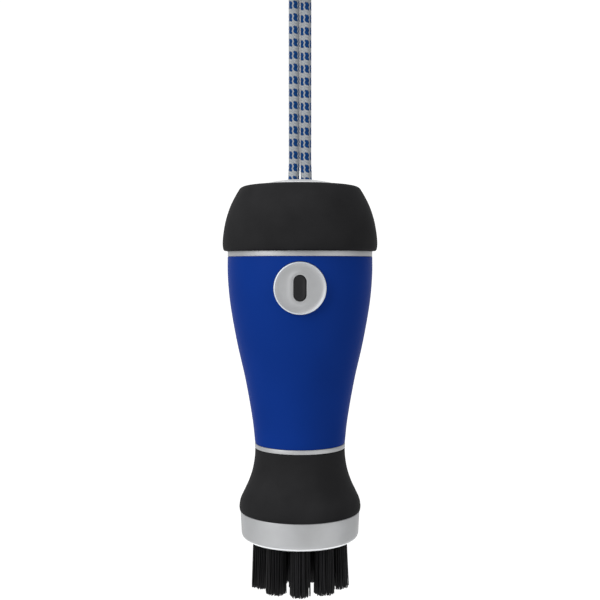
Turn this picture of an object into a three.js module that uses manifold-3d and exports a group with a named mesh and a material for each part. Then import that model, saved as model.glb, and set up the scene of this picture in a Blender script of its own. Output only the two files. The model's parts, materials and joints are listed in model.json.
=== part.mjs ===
// Club groove brush: a round hand brush for the grooves of a golf club's face.
// It hangs from a carabiner on a doubled cord, which winds on a spring reel inside the handle.
// Millimetres, +Z up, +X to the right and -Y to the front, where the reel's button is.
// The origin is the point inside the carabiner's top bend that bears on a bag's ring.

import * as THREE from 'three';
import { mergeVertices } from 'three/addons/utils/BufferGeometryUtils.js';
import Module from 'manifold-3d';

const wasm = await Module();
wasm.setup();

// ---- Driving dimensions ----

const GAP = 0.3; // between a piece and one that is cut to take it
const SEAM = 0.04; // between turned pieces that are stacked on the axis

// The carabiner, a closed loop of rod in the XZ plane.
const ROD_R = 2.4;
const BEND_R = 10.5; // centre line of both bends
const SIDE_LENGTH = 28;
const TOP_BEND_Z = ROD_R - BEND_R;
const LOW_BEND_Z = TOP_BEND_Z - SIDE_LENGTH;
const GATE_R = 2.1;
const GATE_PIVOT_Z = LOW_BEND_Z + 2.6;
const GATE_TOP_Z = -12.3;
const NOSE_Z = -11.9;
const NOSE_LIP = 2; // how far the nose's outer half reaches down over the gate
const TONGUE_HALF = 0.8; // half the thickness of the hinge tongue
const KNUCKLE_R = 1.9;
const GATE_PIN_R = 0.8;

// The swivel under it.
const EYE_R = 5.1; // centre line
const EYE_ROD_R = 1.5;
const EYE_Z = LOW_BEND_Z - BEND_R - 0.7;
const EYE_BOSS_R = 3.2;
const EYE_BOTTOM_Z = EYE_Z - 9;
const SWIVEL_PIN_R = 1.1;

// The cord: one cord doubled into two strands, side by side.
const CORD_R = 1.6;
const STRAND_X = 1.65; // centre line, where the strands lie together
const STRAND_EXIT_X = 1.8; // centre line, where they leave the handle
const CUP_TOP_Z = EYE_BOTTOM_Z - 0.6;
const CUP_LENGTH = 12.5;
const CUP_R = 5.4;
const CUP_BOTTOM_Z = CUP_TOP_Z - CUP_LENGTH;

// The handle's heights are measured from its datum, 157.4 mm below the carabiner's bearing point.
const DATUM_Z = -157.4;
const PLATE_APEX = 34.57;
const CAP_TOP = 32.78;
const CAP_BOTTOM = 14.05;
const BODY_TOP = 12.47;
const BODY_BOTTOM = -41.18;
const SKIRT_TOP = -42.46;
const SKIRT_BOTTOM = -60.6;
const COLLAR_BOTTOM = -68.7;
const BRISTLE_TIP = -82.4;
const RING_R = 20.75; // upper ring
const LOWER_RING_R = 13.05;

// The button on the front, in its round bezel.
const BUTTON_Z = 3.9;
const BEZEL_R = 7.1;
const BEZEL_FACE_Y = -21;
const BEZEL_SEAT_Y = -19;
const BEZEL_PLUG_R = 5.8;
const BUTTON_WIDTH = 3.2;
const BUTTON_LENGTH = 6.8;

// The reel, turned on the X axis.
const REEL_Y = 1.2;
const REEL_Z = 3;
const FLANGE_R = 14.4;
const FLANGE_THICK = 1;
const HUB_R = 4.2;
const WINDING_HALF = 4.9; // half the width between the flanges
const WOUND_R = 12.2; // outside of the cord that is wound up
const AXLE_R = 1.5;
const DRUM_R = 12;
const DRUM_LEFT = WINDING_HALF + FLANGE_THICK + GAP;
const DRUM_RIGHT = 10.1;
const DRUM_FACE = 0.8; // thickness of its closed end
const LEFT_FRAME_X = -7.9;
const RIGHT_FRAME_X = 10.6;
const FRAME_THICK = 1.3;

// The brake, a rocker between the button and the flanges.
const BRAKE_PIN_Y = -14.2;
const BRAKE_PIN_Z = -4.2;
const BRAKE_PIN_R = 0.9;
const PAD_ANGLE = THREE.MathUtils.degToRad(43); // below the reel's front

// The bristles: tufts in two rings.
const TUFT_R = 3.05;
const TUFT_ROOT = -64;
const OUTER_TUFTS = 10;
const OUTER_TUFT_RING = 11.1;
const OUTER_TUFT_LEAN = THREE.MathUtils.degToRad(1.6);
const INNER_TUFTS = 3;
const INNER_TUFT_RING = 4.4;

// ---- Finishes ----

const finish = (color, roughness, metalness) => ({ color, roughness, metalness });
const FINISHES = {
  blue: finish(0x15347e, 0.35, 0),
  black: finish(0x2a2a2c, 0.7, 0),
  silver: finish(0xb4b2ae, 0.35, 0.9),
  steel: finish(0x9a9a98, 0.3, 1),
  alloy: finish(0xc0c2c6, 0.3, 1),
  acetal: finish(0xdedbd0, 0.5, 0),
  rubber: finish(0x1c1c1c, 0.9, 0),
  nylon: finish(0x1b1c1e, 0.6, 0),
  cord: finish(0x9a9c9c, 0.95, 0),
};

// ---- Working with shapes ----

const brush = new THREE.Group();
const handle = new THREE.Group();
handle.position.z = DATUM_Z;
brush.add(handle);

function place(parent, name, geometry, finishName) {
  const piece = new THREE.Mesh(geometry, new THREE.MeshStandardMaterial(FINISHES[finishName]));
  piece.name = name;
  parent.add(piece);
}

function bare(geometry) {
  const copy = geometry.clone();
  copy.deleteAttribute('normal');
  copy.deleteAttribute('uv');
  return mergeVertices(copy, 1e-4);
}

function solid(geometry) {
  const merged = bare(geometry);
  const vertProperties = new Float32Array(merged.attributes.position.array);
  const triVerts = new Uint32Array(merged.index.array);
  return new wasm.Manifold(new wasm.Mesh({ numProp: 3, vertProperties, triVerts }));
}

function shapeOf(manifold) {
  const mesh = manifold.getMesh();
  const geometry = new THREE.BufferGeometry();
  geometry.setAttribute('position', new THREE.BufferAttribute(mesh.vertProperties, 3));
  geometry.setIndex(new THREE.BufferAttribute(mesh.triVerts, 1));
  return geometry;
}

const cut = (geometry, ...tools) => shapeOf(tools.reduce((a, b) => a.subtract(solid(b)), solid(geometry)));
const join = (geometry, ...more) => shapeOf(more.reduce((a, b) => a.add(solid(b)), solid(geometry)));

// A profile is a list of [radius, height], anticlockwise with the radius to the right.
const vectors = (profile) => profile.map(([r, z]) => new THREE.Vector2(r, z));
const turned = (profile, sides = 36) => new THREE.LatheGeometry(vectors(profile), sides);
const turnedOnZ = (profile, sides) => turned(profile, sides).rotateX(Math.PI / 2);
const turnedOnX = (profile, sides) => turned(profile, sides).rotateZ(-Math.PI / 2);
const closed = (profile) => [...profile, profile[0]];

function ring(inner, outer, low, high) {
  return closed([[inner, low], [outer, low], [outer, high], [inner, high]]);
}

// Points of a smooth curve through a few stations, from the first to the last.
function through(stations, steps) {
  return new THREE.SplineCurve(vectors(stations)).getPoints(steps).map((p) => [p.x, p.y]);
}

// Points of an arc in a profile, about a centre, between two angles in degrees.
function arc(r, z, radius, from, to, steps) {
  return Array.from({ length: steps + 1 }, (_, i) => {
    const angle = THREE.MathUtils.degToRad(from + ((to - from) * i) / steps);
    return [r + radius * Math.cos(angle), z + radius * Math.sin(angle)];
  });
}

function box(low, high) {
  const size = low.map((v, i) => high[i] - v);
  const middle = low.map((v, i) => (high[i] + v) / 2);
  return new THREE.BoxGeometry(...size).translate(...middle);
}

function rodX(radius, left, right, y, z, sides = 16) {
  const rod = new THREE.CylinderGeometry(radius, radius, right - left, sides).rotateZ(Math.PI / 2);
  return rod.translate((left + right) / 2, y, z);
}

function rodY(radius, front, back, x, z, sides = 24) {
  return new THREE.CylinderGeometry(radius, radius, back - front, sides).translate(x, (front + back) / 2, z);
}

function rodZ(radius, low, high, x = 0, y = 0, sides = 24) {
  const rod = new THREE.CylinderGeometry(radius, radius, high - low, sides).rotateX(Math.PI / 2);
  return rod.translate(x, y, (low + high) / 2);
}

function disc(radius, sides) {
  const corners = Array.from({ length: sides }, (_, i) => {
    const angle = (2 * Math.PI * i) / sides;
    return new THREE.Vector2(radius * Math.cos(angle), radius * Math.sin(angle));
  });
  return new THREE.Shape(corners);
}

function tube(curve, radius, sides, steps) {
  return new THREE.ExtrudeGeometry(disc(radius, sides), { steps, extrudePath: curve, bevelEnabled: false });
}

// A slot with round ends, long in one direction, as a shape centred on its own origin.
function slotShape(width, length, upright) {
  const shape = new THREE.Shape();
  const r = width / 2;
  const reach = length / 2 - r;
  if (upright) {
    shape.absarc(0, reach, r, 0, Math.PI, false);
    shape.absarc(0, -reach, r, Math.PI, 2 * Math.PI, false);
  } else {
    shape.absarc(reach, 0, r, -Math.PI / 2, Math.PI / 2, false);
    shape.absarc(-reach, 0, r, Math.PI / 2, 1.5 * Math.PI, false);
  }
  return shape;
}

// An upright slot seen from the front, between two depths along Y.
function slotY(width, length, front, back, z) {
  const options = { depth: back - front, bevelEnabled: false, curveSegments: 6 };
  const block = new THREE.ExtrudeGeometry(slotShape(width, length, true), options);
  return block.rotateX(Math.PI / 2).translate(0, back, z);
}

// A slot across X seen from above, between two heights.
function slotZ(width, length, low, high, y = 0) {
  const options = { depth: high - low, bevelEnabled: false, curveSegments: 6 };
  return new THREE.ExtrudeGeometry(slotShape(width, length, false), options).translate(0, y, low);
}

// An outline in the YZ plane, drawn as a list of [y, z], as thick as from left to right.
function plateX(outline, left, right) {
  const shape = new THREE.Shape(vectors(outline));
  const plate = new THREE.ExtrudeGeometry(shape, { depth: right - left, bevelEnabled: false });
  const standing = new THREE.Matrix4().makeBasis(
    new THREE.Vector3(0, 1, 0),
    new THREE.Vector3(0, 0, 1),
    new THREE.Vector3(1, 0, 0),
  );
  return plate.applyMatrix4(standing).translate(left, 0, 0);
}

class Helix extends THREE.Curve {
  constructor(radius, length, turns) {
    super();
    this.radius = radius;
    this.length = length;
    this.turns = turns;
  }

  getPoint(t) {
    const angle = 2 * Math.PI * this.turns * t;
    return new THREE.Vector3(this.radius * Math.cos(angle), this.radius * Math.sin(angle), this.length * t);
  }
}

class FlatSpiral extends THREE.Curve {
  constructor(inner, outer, turns) {
    super();
    this.inner = inner;
    this.outer = outer;
    this.turns = turns;
  }

  getPoint(t) {
    const angle = 2 * Math.PI * this.turns * t;
    const radius = this.inner + (this.outer - this.inner) * t;
    return new THREE.Vector3(0, radius * Math.cos(angle), radius * Math.sin(angle));
  }
}

// ---- Carabiner ----

function sideOfLoop(fromZ, toZ, x) {
  return new THREE.LineCurve3(new THREE.Vector3(x, 0, fromZ), new THREE.Vector3(x, 0, toZ));
}

class Bend extends THREE.Curve {
  constructor(z, from, to) {
    super();
    this.z = z;
    this.from = from;
    this.to = to;
  }

  getPoint(t) {
    const angle = this.from + (this.to - this.from) * t;
    return new THREE.Vector3(BEND_R * Math.cos(angle), 0, this.z + BEND_R * Math.sin(angle));
  }
}

function carabinerFrame() {
  const loop = new THREE.CurvePath();
  loop.add(new Bend(LOW_BEND_Z, 0, -Math.PI));
  loop.add(sideOfLoop(LOW_BEND_Z, TOP_BEND_Z, -BEND_R));
  loop.add(new Bend(TOP_BEND_Z, Math.PI, 0));
  loop.add(sideOfLoop(TOP_BEND_Z, NOSE_Z, BEND_R));
  const left = BEND_R - KNUCKLE_R;
  const right = BEND_R + KNUCKLE_R;
  const tongue = box([left, -TONGUE_HALF, LOW_BEND_Z - 0.6], [right, TONGUE_HALF, GATE_PIVOT_Z]);
  const knuckle = rodY(KNUCKLE_R, -TONGUE_HALF, TONGUE_HALF, BEND_R, GATE_PIVOT_Z);
  const lip = solid(rodZ(ROD_R, NOSE_Z - NOSE_LIP, NOSE_Z + 0.5, BEND_R, 0, 12))
    .intersect(solid(box([BEND_R + 0.7, -3, NOSE_Z - 3], [BEND_R + 3, 3, NOSE_Z + 1])));
  const whole = join(tube(loop, ROD_R, 12, 40), tongue, knuckle, shapeOf(lip));
  return cut(whole, rodY(GATE_PIN_R + GAP, -2, 2, BEND_R, GATE_PIVOT_Z, 12));
}

function carabinerGate() {
  const slotTop = GATE_PIVOT_Z + 2.3;
  const rod = rodZ(GATE_R, GATE_PIVOT_Z, GATE_TOP_Z, BEND_R, 0, 12);
  const heel = rodY(GATE_R, -GATE_R, GATE_R, BEND_R, GATE_PIVOT_Z, 16);
  return cut(
    join(rod, heel),
    box([BEND_R - 3, -TONGUE_HALF - GAP, GATE_PIVOT_Z - 3], [BEND_R + 3, TONGUE_HALF + GAP, slotTop]),
    box([BEND_R + 0.3, -3, GATE_TOP_Z - NOSE_LIP], [BEND_R + 3, 3, GATE_TOP_Z + 1]),
    rodZ(1.2, slotTop - 0.5, slotTop + 8, BEND_R, 0, 12),
    rodY(GATE_PIN_R + GAP, -3, 3, BEND_R, GATE_PIVOT_Z, 12),
  );
}

function gateSpring() {
  const coil = tube(new Helix(0.65, 7, 4), 0.22, 5, 24);
  return coil.translate(BEND_R, 0, GATE_PIVOT_Z + 2.7);
}

place(brush, 'carabiner_frame', carabinerFrame(), 'alloy');
place(brush, 'carabiner_gate', carabinerGate(), 'alloy');
place(brush, 'gate_pin', rodY(GATE_PIN_R, -GATE_R, GATE_R, BEND_R, GATE_PIVOT_Z, 12), 'steel');
place(brush, 'gate_spring', gateSpring(), 'steel');

// ---- Swivel and the cord's end ----

function swivelEye() {
  const loop = new THREE.TorusGeometry(EYE_R, EYE_ROD_R, 10, 24).rotateY(Math.PI / 2).translate(0, 0, EYE_Z);
  const boss = turnedOnZ([
    [0, EYE_BOTTOM_Z],
    [EYE_BOSS_R, EYE_BOTTOM_Z],
    [EYE_BOSS_R, EYE_BOTTOM_Z + 1.6],
    [1.6, EYE_BOTTOM_Z + 3.4],
    [0, EYE_BOTTOM_Z + 3.4],
  ], 16);
  return cut(join(loop, boss), rodZ(SWIVEL_PIN_R + GAP, EYE_BOTTOM_Z - 1, EYE_BOTTOM_Z + 2.6, 0, 0, 12));
}

function swivelPin() {
  const headTop = CUP_TOP_Z - 2 - GAP;
  return turnedOnZ([
    [0, headTop - 1.2],
    [2.4, headTop - 1.2],
    [2.4, headTop],
    [SWIVEL_PIN_R, headTop],
    [SWIVEL_PIN_R, EYE_BOTTOM_Z + 2.2],
    [0, EYE_BOTTOM_Z + 2.2],
  ], 12);
}

function cordEndCup() {
  const mouthR = CUP_R - 1.1;
  return turnedOnZ(closed([
    [mouthR, CUP_BOTTOM_Z],
    [CUP_R - 0.3, CUP_BOTTOM_Z],
    [CUP_R, CUP_BOTTOM_Z + 0.3],
    ...arc(CUP_R - 2.5, CUP_TOP_Z - 2.5, 2.5, 0, 90, 5),
    [SWIVEL_PIN_R + GAP, CUP_TOP_Z],
    [SWIVEL_PIN_R + GAP, CUP_TOP_Z - 2],
    [mouthR, CUP_TOP_Z - 2],
  ]), 24);
}

const CLAMP_TOP_Z = CUP_BOTTOM_Z + 4.4;
const STRAND_TOP_Z = CLAMP_TOP_Z - 0.4;

function cordClamp() {
  const bore = CORD_R + GAP;
  return cut(
    rodZ(CUP_R - 1.1 - 0.2, CUP_BOTTOM_Z + 0.2, CLAMP_TOP_Z, 0, 0, 24),
    slotZ(2 * bore, 2 * (STRAND_X + bore), CUP_BOTTOM_Z - 1, CLAMP_TOP_Z + 1),
  );
}

// A strand runs straight from the cup's clamp to the plate on the handle, where the two part a little.
const STRAND_LOW = 33;
const RUN_TOP = STRAND_LOW - GAP;

function strand(side) {
  const route = [
    [STRAND_EXIT_X, DATUM_Z + STRAND_LOW],
    [STRAND_EXIT_X, DATUM_Z + PLATE_APEX + 0.6],
    [STRAND_X, DATUM_Z + PLATE_APEX + 5],
    [STRAND_X, DATUM_Z + PLATE_APEX + 12],
    [STRAND_X, DATUM_Z + PLATE_APEX + 30],
    [STRAND_X, STRAND_TOP_Z],
  ].map(([x, z]) => new THREE.Vector3(side * x, 0, z));
  return tube(new THREE.CatmullRomCurve3(route, false, 'centripetal'), CORD_R, 8, 10);
}

place(brush, 'swivel_eye', swivelEye(), 'steel');
place(brush, 'swivel_pin', swivelPin(), 'steel');
place(brush, 'cord_end_cup', cordEndCup(), 'alloy');
place(brush, 'cord_clamp', cordClamp(), 'black');
place(brush, 'cord_strand_left', strand(-1), 'cord');
place(brush, 'cord_strand_right', strand(1), 'cord');

// ---- Top of the handle: plate, cord guide and cap ----

const PLATE_R = 9.9;
const SPIGOT_R = 8.4;
const SPIGOT_BORE = 6.9;
const SPIGOT_BOTTOM = 28;
const PLATE_UNDERSIDE = 31.4;
const LEDGE = 32.05; // the cap's ledge that the plate's flange sits on
const ROOF = 30.6; // the cap's inner roof, over the nut

function cordPlate() {
  const rim = 33.3;
  const profile = closed([
    [SPIGOT_BORE, SPIGOT_BOTTOM],
    [SPIGOT_R, SPIGOT_BOTTOM],
    [SPIGOT_R, LEDGE + SEAM],
    [PLATE_R, LEDGE + SEAM],
    [PLATE_R, rim - 0.25],
    ...through([[PLATE_R - 0.25, rim], [6.4, 34.05], [3.2, 34.44], [0, PLATE_APEX]], 4),
    [0, PLATE_UNDERSIDE],
    [SPIGOT_BORE, PLATE_UNDERSIDE],
  ]);
  const width = 2 * (CORD_R + GAP);
  const slot = slotZ(width, width + 2 * STRAND_EXIT_X, PLATE_UNDERSIDE - 1, PLATE_APEX + 1);
  return cut(turnedOnZ(profile), slot);
}

function cordGuide() {
  const width = 2 * (CORD_R + GAP);
  return cut(
    rodZ(SPIGOT_BORE - GAP, SPIGOT_BOTTOM + 0.4, PLATE_UNDERSIDE - GAP),
    slotZ(width + 0.8, width + 2 * STRAND_EXIT_X, SPIGOT_BOTTOM - 1, PLATE_UNDERSIDE + 1, 0.4),
  );
}

// A hexagon nut that draws the plate down on the cap.
function plateNut() {
  const bore = rodZ(SPIGOT_R + GAP, SPIGOT_BOTTOM - 1, ROOF + 1, 0, 0, 36);
  return cut(rodZ(11.6, ROOF - 2.3, ROOF - GAP, 0, 0, 6), bore);
}

function topCap() {
  const shoulder = [
    [21.7, CAP_BOTTOM + 0.2],
    [22.1, 14.7],
    [22.2, 16.2],
    [21.95, 19.2],
    [21.2, 23.1],
    [19.85, 27.1],
    [18.1, 30.4],
    [17.2, 31.8],
    [16.1, 32.45],
    [14.6, 32.72],
  ];
  return turnedOnZ(closed([
    [18.8, CAP_BOTTOM],
    [21.5, CAP_BOTTOM],
    ...through(shoulder, 9),
    [11.2, CAP_TOP],
    [PLATE_R + GAP, CAP_TOP - 0.1],
    [PLATE_R + GAP, LEDGE],
    [SPIGOT_R + GAP, LEDGE],
    [SPIGOT_R + GAP, ROOF],
    [14.6, ROOF],
    [18, 27],
    [19.4, 23],
    [19.9, 19.2],
    [18.8, 19.2],
  ]));
}

place(handle, 'cord_plate', cordPlate(), 'silver');
place(handle, 'plate_nut', plateNut(), 'steel');
place(handle, 'cord_guide', cordGuide(), 'acetal');
place(handle, 'top_cap', topCap(), 'black');
place(handle, 'upper_ring', turnedOnZ(ring(18.7, RING_R, BODY_TOP + SEAM, CAP_BOTTOM - SEAM)), 'silver');

// ---- Body shell ----

const SPIGOT_TOP = 18.6; // the body's collar that the ring and cap slide over
const TRAY_TOP = -13.3;
const TRAY_BOTTOM = -15.3;
const FLOOR_TOP = -35.9;
const FLOOR_BOTTOM = -38.9;
const SCREW_R = 2.4;
const LUG_LEFT = 4.7;
const LUG_RIGHT = 6.3;

const BODY_STATIONS = [
  [LOWER_RING_R - 0.07, BODY_BOTTOM],
  [13.66, -34.8],
  [15.66, -23.1],
  [18.23, -11.5],
  [20.17, 0],
  [20.76, 7.5],
  [20.78, BODY_TOP],
];

function bodyShell() {
  const shell = turnedOnZ(closed([
    [10.2, BODY_BOTTOM],
    ...through(BODY_STATIONS, 10),
    [18.4, BODY_TOP],
    [18.4, SPIGOT_TOP],
    [16.9, SPIGOT_TOP],
    [18.3, 11],
    [18.4, 4],
    [17.9, -1.5],
    [15.7, TRAY_BOTTOM - 0.2],
    [14, TRAY_BOTTOM - 0.2],
    [11, FLOOR_TOP],
    [SCREW_R + GAP, FLOOR_TOP],
    [SCREW_R + GAP, FLOOR_BOTTOM],
    [10.2, FLOOR_BOTTOM],
  ]));
  const lugs = [-1, 1].map((side) => {
    const [left, right] = side < 0 ? [-LUG_RIGHT, -LUG_LEFT] : [LUG_LEFT, LUG_RIGHT];
    return box([left, -18.2, BRAKE_PIN_Z - 2], [right, -13, BRAKE_PIN_Z + 1.8]);
  });
  return cut(
    join(shell, ...lugs),
    rodY(BEZEL_PLUG_R + GAP, -23, -15, 0, BUTTON_Z, 28),
    rodX(BRAKE_PIN_R + GAP, -LUG_RIGHT - 1, LUG_RIGHT + 1, BRAKE_PIN_Y, BRAKE_PIN_Z, 12),
    bezelSeat(),
  );
}

// The flat that the bezel's rim sits on, milled into the curved front.
function bezelSeat() {
  return rodY(BEZEL_R + GAP, -24, BEZEL_SEAT_Y, 0, BUTTON_Z, 28);
}

place(handle, 'body_shell', bodyShell(), 'blue');

// ---- Button and bezel ----

function buttonBezel() {
  const back = -15.7;
  const frontWall = -19.4;
  const seat = BEZEL_SEAT_Y - GAP;
  const dish = turned(closed([
    [BEZEL_PLUG_R - 1, back],
    [BEZEL_PLUG_R - 1, frontWall],
    [0, frontWall],
    [0, -20.95],
    [2.6, -20.85],
    [4.3, -20.45],
    [5.2, -20.35],
    [6.2, -20.75],
    [6.6, BEZEL_FACE_Y],
    [6.85, BEZEL_FACE_Y],
    [BEZEL_R, BEZEL_FACE_Y + 0.3],
    [BEZEL_R, seat],
    [BEZEL_PLUG_R, seat],
    [BEZEL_PLUG_R, back],
  ]), 28).translate(0, 0, BUTTON_Z);
  const clearance = 0.3;
  return cut(dish, slotY(BUTTON_WIDTH + clearance, BUTTON_LENGTH + clearance, -23, -19, BUTTON_Z));
}

// A push-on ring behind the shell's wall, that holds the bezel.
function bezelClip() {
  return turned(ring(BEZEL_PLUG_R + 0.15, 6.9, -16.8, -16.2), 28).translate(0, 0, BUTTON_Z);
}

function releaseButton() {
  return join(
    slotY(BUTTON_WIDTH, BUTTON_LENGTH, -21.15, -18.6, BUTTON_Z),
    slotY(BUTTON_WIDTH + 1.4, BUTTON_LENGTH + 1.2, -19.1, -18.3, BUTTON_Z),
    rodY(1.5, -18.6, -15.3, 0, BUTTON_Z, 12),
  );
}

place(handle, 'button_bezel', buttonBezel(), 'silver');
place(handle, 'bezel_clip', bezelClip(), 'steel');
place(handle, 'release_button', releaseButton(), 'black');

// ---- Brake ----

// A bar across the reel, square to its rim at the pad's angle, between two distances from the axle.
function barAtRim(near, far, halfWidth, halfHeight) {
  const bar = box([-halfWidth, -far, -halfHeight], [halfWidth, -near, halfHeight]);
  return bar.rotateX(PAD_ANGLE).translate(0, REEL_Y, REEL_Z);
}

function brakeLever() {
  const armHalf = 2.2;
  const boss = rodX(1.8, -armHalf, armHalf, BRAKE_PIN_Y, BRAKE_PIN_Z, 16);
  const upperArm = box([-armHalf, -15, BRAKE_PIN_Z], [armHalf, -13.8, BUTTON_Z + 1.6]);
  const barY = REEL_Y - 17 * Math.cos(PAD_ANGLE);
  const barZ = REEL_Z - 17 * Math.sin(PAD_ANGLE);
  const armLength = Math.hypot(barY - BRAKE_PIN_Y, barZ - BRAKE_PIN_Z);
  const lowerArm = box([-armHalf, -0.6, -armLength], [armHalf, 0.6, 0])
    .rotateX(Math.atan2(barY - BRAKE_PIN_Y, BRAKE_PIN_Z - barZ))
    .translate(0, BRAKE_PIN_Y, BRAKE_PIN_Z);
  const whole = join(boss, upperArm, lowerArm, barAtRim(16.2, 17.2, 5.5, 1.6));
  return cut(whole, rodX(BRAKE_PIN_R + GAP, -3, 3, BRAKE_PIN_Y, BRAKE_PIN_Z, 12));
}

function brakeSpring() {
  const coil = tube(new Helix(1.6, 1.5, 2.5), 0.25, 5, 20).rotateY(Math.PI / 2);
  return coil.translate(2.75, BRAKE_PIN_Y, BRAKE_PIN_Z);
}

place(handle, 'brake_lever', brakeLever(), 'acetal');
place(handle, 'brake_pad', barAtRim(FLANGE_R + GAP, 15.9, 6.2, 1.6), 'rubber');
place(handle, 'brake_pin', rodX(BRAKE_PIN_R, -LUG_RIGHT, LUG_RIGHT, BRAKE_PIN_Y, BRAKE_PIN_Z, 12), 'steel');
place(handle, 'brake_spring', brakeSpring(), 'steel');

// ---- Reel ----

function reelSpool() {
  const outside = WINDING_HALF + FLANGE_THICK;
  const bore = AXLE_R + GAP;
  return turnedOnX(closed([
    [bore, -outside],
    [FLANGE_R, -outside],
    [FLANGE_R, -WINDING_HALF],
    [HUB_R, -WINDING_HALF],
    [HUB_R, WINDING_HALF],
    [FLANGE_R, WINDING_HALF],
    [FLANGE_R, outside],
    [bore, outside],
  ]), 28).translate(0, REEL_Y, REEL_Z);
}

function springDrum() {
  const inner = DRUM_R - 0.9;
  return turnedOnX(closed([
    [inner, DRUM_LEFT],
    [DRUM_R, DRUM_LEFT],
    [DRUM_R, DRUM_RIGHT],
    [AXLE_R + 0.6, DRUM_RIGHT],
    [AXLE_R + 0.6, DRUM_RIGHT - DRUM_FACE],
    [inner, DRUM_RIGHT - DRUM_FACE],
  ]), 24).translate(0, REEL_Y, REEL_Z);
}

// The spring is a flat steel strip, wound on edge round the axle.
function powerSpring() {
  const width = DRUM_RIGHT - DRUM_FACE - DRUM_LEFT - 2 * GAP;
  const half = width / 2;
  const strip = new THREE.Shape(vectors([[-half, -0.15], [half, -0.15], [half, 0.15], [-half, 0.15]]));
  const options = { steps: 70, extrudePath: new FlatSpiral(2.6, 10.2, 5), bevelEnabled: false };
  const coil = new THREE.ExtrudeGeometry(strip, options);
  return coil.translate(DRUM_LEFT + GAP + half, REEL_Y, REEL_Z);
}

function woundCord() {
  const half = WINDING_HALF - GAP;
  return turnedOnX(closed([
    [HUB_R + GAP, -half],
    [WOUND_R - 1, -half],
    [WOUND_R, -half + 1],
    [WOUND_R, half - 1],
    [WOUND_R - 1, half],
    [HUB_R + GAP, half],
  ]), 24).translate(0, REEL_Y, REEL_Z);
}

// Inside the handle each strand bends back from the guide and meets the winding on a tangent.
function innerRun(side) {
  const startZ = 28.5;
  const tangentR = WOUND_R + GAP + CORD_R;
  const away = Math.hypot(REEL_Y, startZ - REEL_Z);
  const slant = Math.asin(tangentR / away) + Math.atan(REEL_Y / (startZ - REEL_Z));
  const reach = Math.sqrt(away * away - tangentR * tangentR);
  const along = (distance) => [distance * Math.sin(slant), startZ - distance * Math.cos(slant)];
  const route = [[0, RUN_TOP], [0, 30.4], along(1.6), along(5), along(12), along(reach)];
  const points = route.map(([y, z]) => new THREE.Vector3(side * STRAND_EXIT_X, y, z));
  return tube(new THREE.CatmullRomCurve3(points, false, 'centripetal'), CORD_R, 8, 12);
}

// Each rivet holds the two frames apart at a corner: [y, z].
const RIVETS = [[-6.2, -11], [8.2, -11.2], [-6.4, 17.3]];
const RIVET_NECK_R = 0.8;
const RIVET_WAIST_R = 1.2;
const RIVET_HEAD_R = 1.5;
const RIVET_HEAD = 0.7;

function reelFrame(left) {
  const right = left + FRAME_THICK;
  const outline = [
    [-6.4, -13],
    [9.4, -13],
    [10.4, -11],
    [10.4, 17.6],
    [8.4, 19.6],
    [-7, 19.6],
    [-8.6, 17.8],
    [-8.6, -10.6],
  ];
  const axleHole = rodX(AXLE_R + GAP, left - 1, right + 1, REEL_Y, REEL_Z);
  const holes = RIVETS.map(([y, z]) => rodX(RIVET_NECK_R + GAP, left - 1, right + 1, y, z, 12));
  return cut(plateX(outline, left, right), axleHole, ...holes);
}

function frameRivet([y, z]) {
  const left = LEFT_FRAME_X;
  const right = RIGHT_FRAME_X + FRAME_THICK;
  return turnedOnX([
    [0, left - GAP - RIVET_HEAD],
    [RIVET_HEAD_R, left - GAP - RIVET_HEAD],
    [RIVET_HEAD_R, left - GAP],
    [RIVET_NECK_R, left - GAP],
    [RIVET_NECK_R, left + FRAME_THICK + GAP],
    [RIVET_WAIST_R, left + FRAME_THICK + GAP],
    [RIVET_WAIST_R, RIGHT_FRAME_X - GAP],
    [RIVET_NECK_R, RIGHT_FRAME_X - GAP],
    [RIVET_NECK_R, right + GAP],
    [RIVET_HEAD_R, right + GAP],
    [RIVET_HEAD_R, right + GAP + RIVET_HEAD],
    [0, right + GAP + RIVET_HEAD],
  ], 8).translate(0, y, z);
}

function spoolAxle() {
  const left = LEFT_FRAME_X - 0.6;
  return rodX(AXLE_R, left, RIGHT_FRAME_X + FRAME_THICK + 0.6, REEL_Y, REEL_Z);
}

place(handle, 'reel_spool', reelSpool(), 'acetal');
place(handle, 'spool_axle', spoolAxle(), 'steel');
place(handle, 'spring_drum', springDrum(), 'acetal');
place(handle, 'power_spring', powerSpring(), 'steel');
place(handle, 'wound_cord', woundCord(), 'cord');
place(handle, 'cord_run_left', innerRun(-1), 'cord');
place(handle, 'cord_run_right', innerRun(1), 'cord');
place(handle, 'reel_frame_left', reelFrame(LEFT_FRAME_X), 'steel');
place(handle, 'reel_frame_right', reelFrame(RIGHT_FRAME_X), 'steel');
RIVETS.forEach((rivet, i) => place(handle, `frame_rivet_${i + 1}`, frameRivet(rivet), 'steel'));
place(handle, 'reel_tray', turnedOnZ(ring(5.2, 15.1, TRAY_BOTTOM, TRAY_TOP)), 'acetal');

// ---- Head: ring, skirt, collar, bristle block and its screw ----

const BLOCK_TOP = -61;
const BLOCK_BOTTOM = COLLAR_BOTTOM + 0.4;
const BLOCK_R = 15.4;
const STEM_R = 6;
const SKIRT_LID_BOTTOM = -45.8;
const SCREW_END = -61.6;

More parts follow.
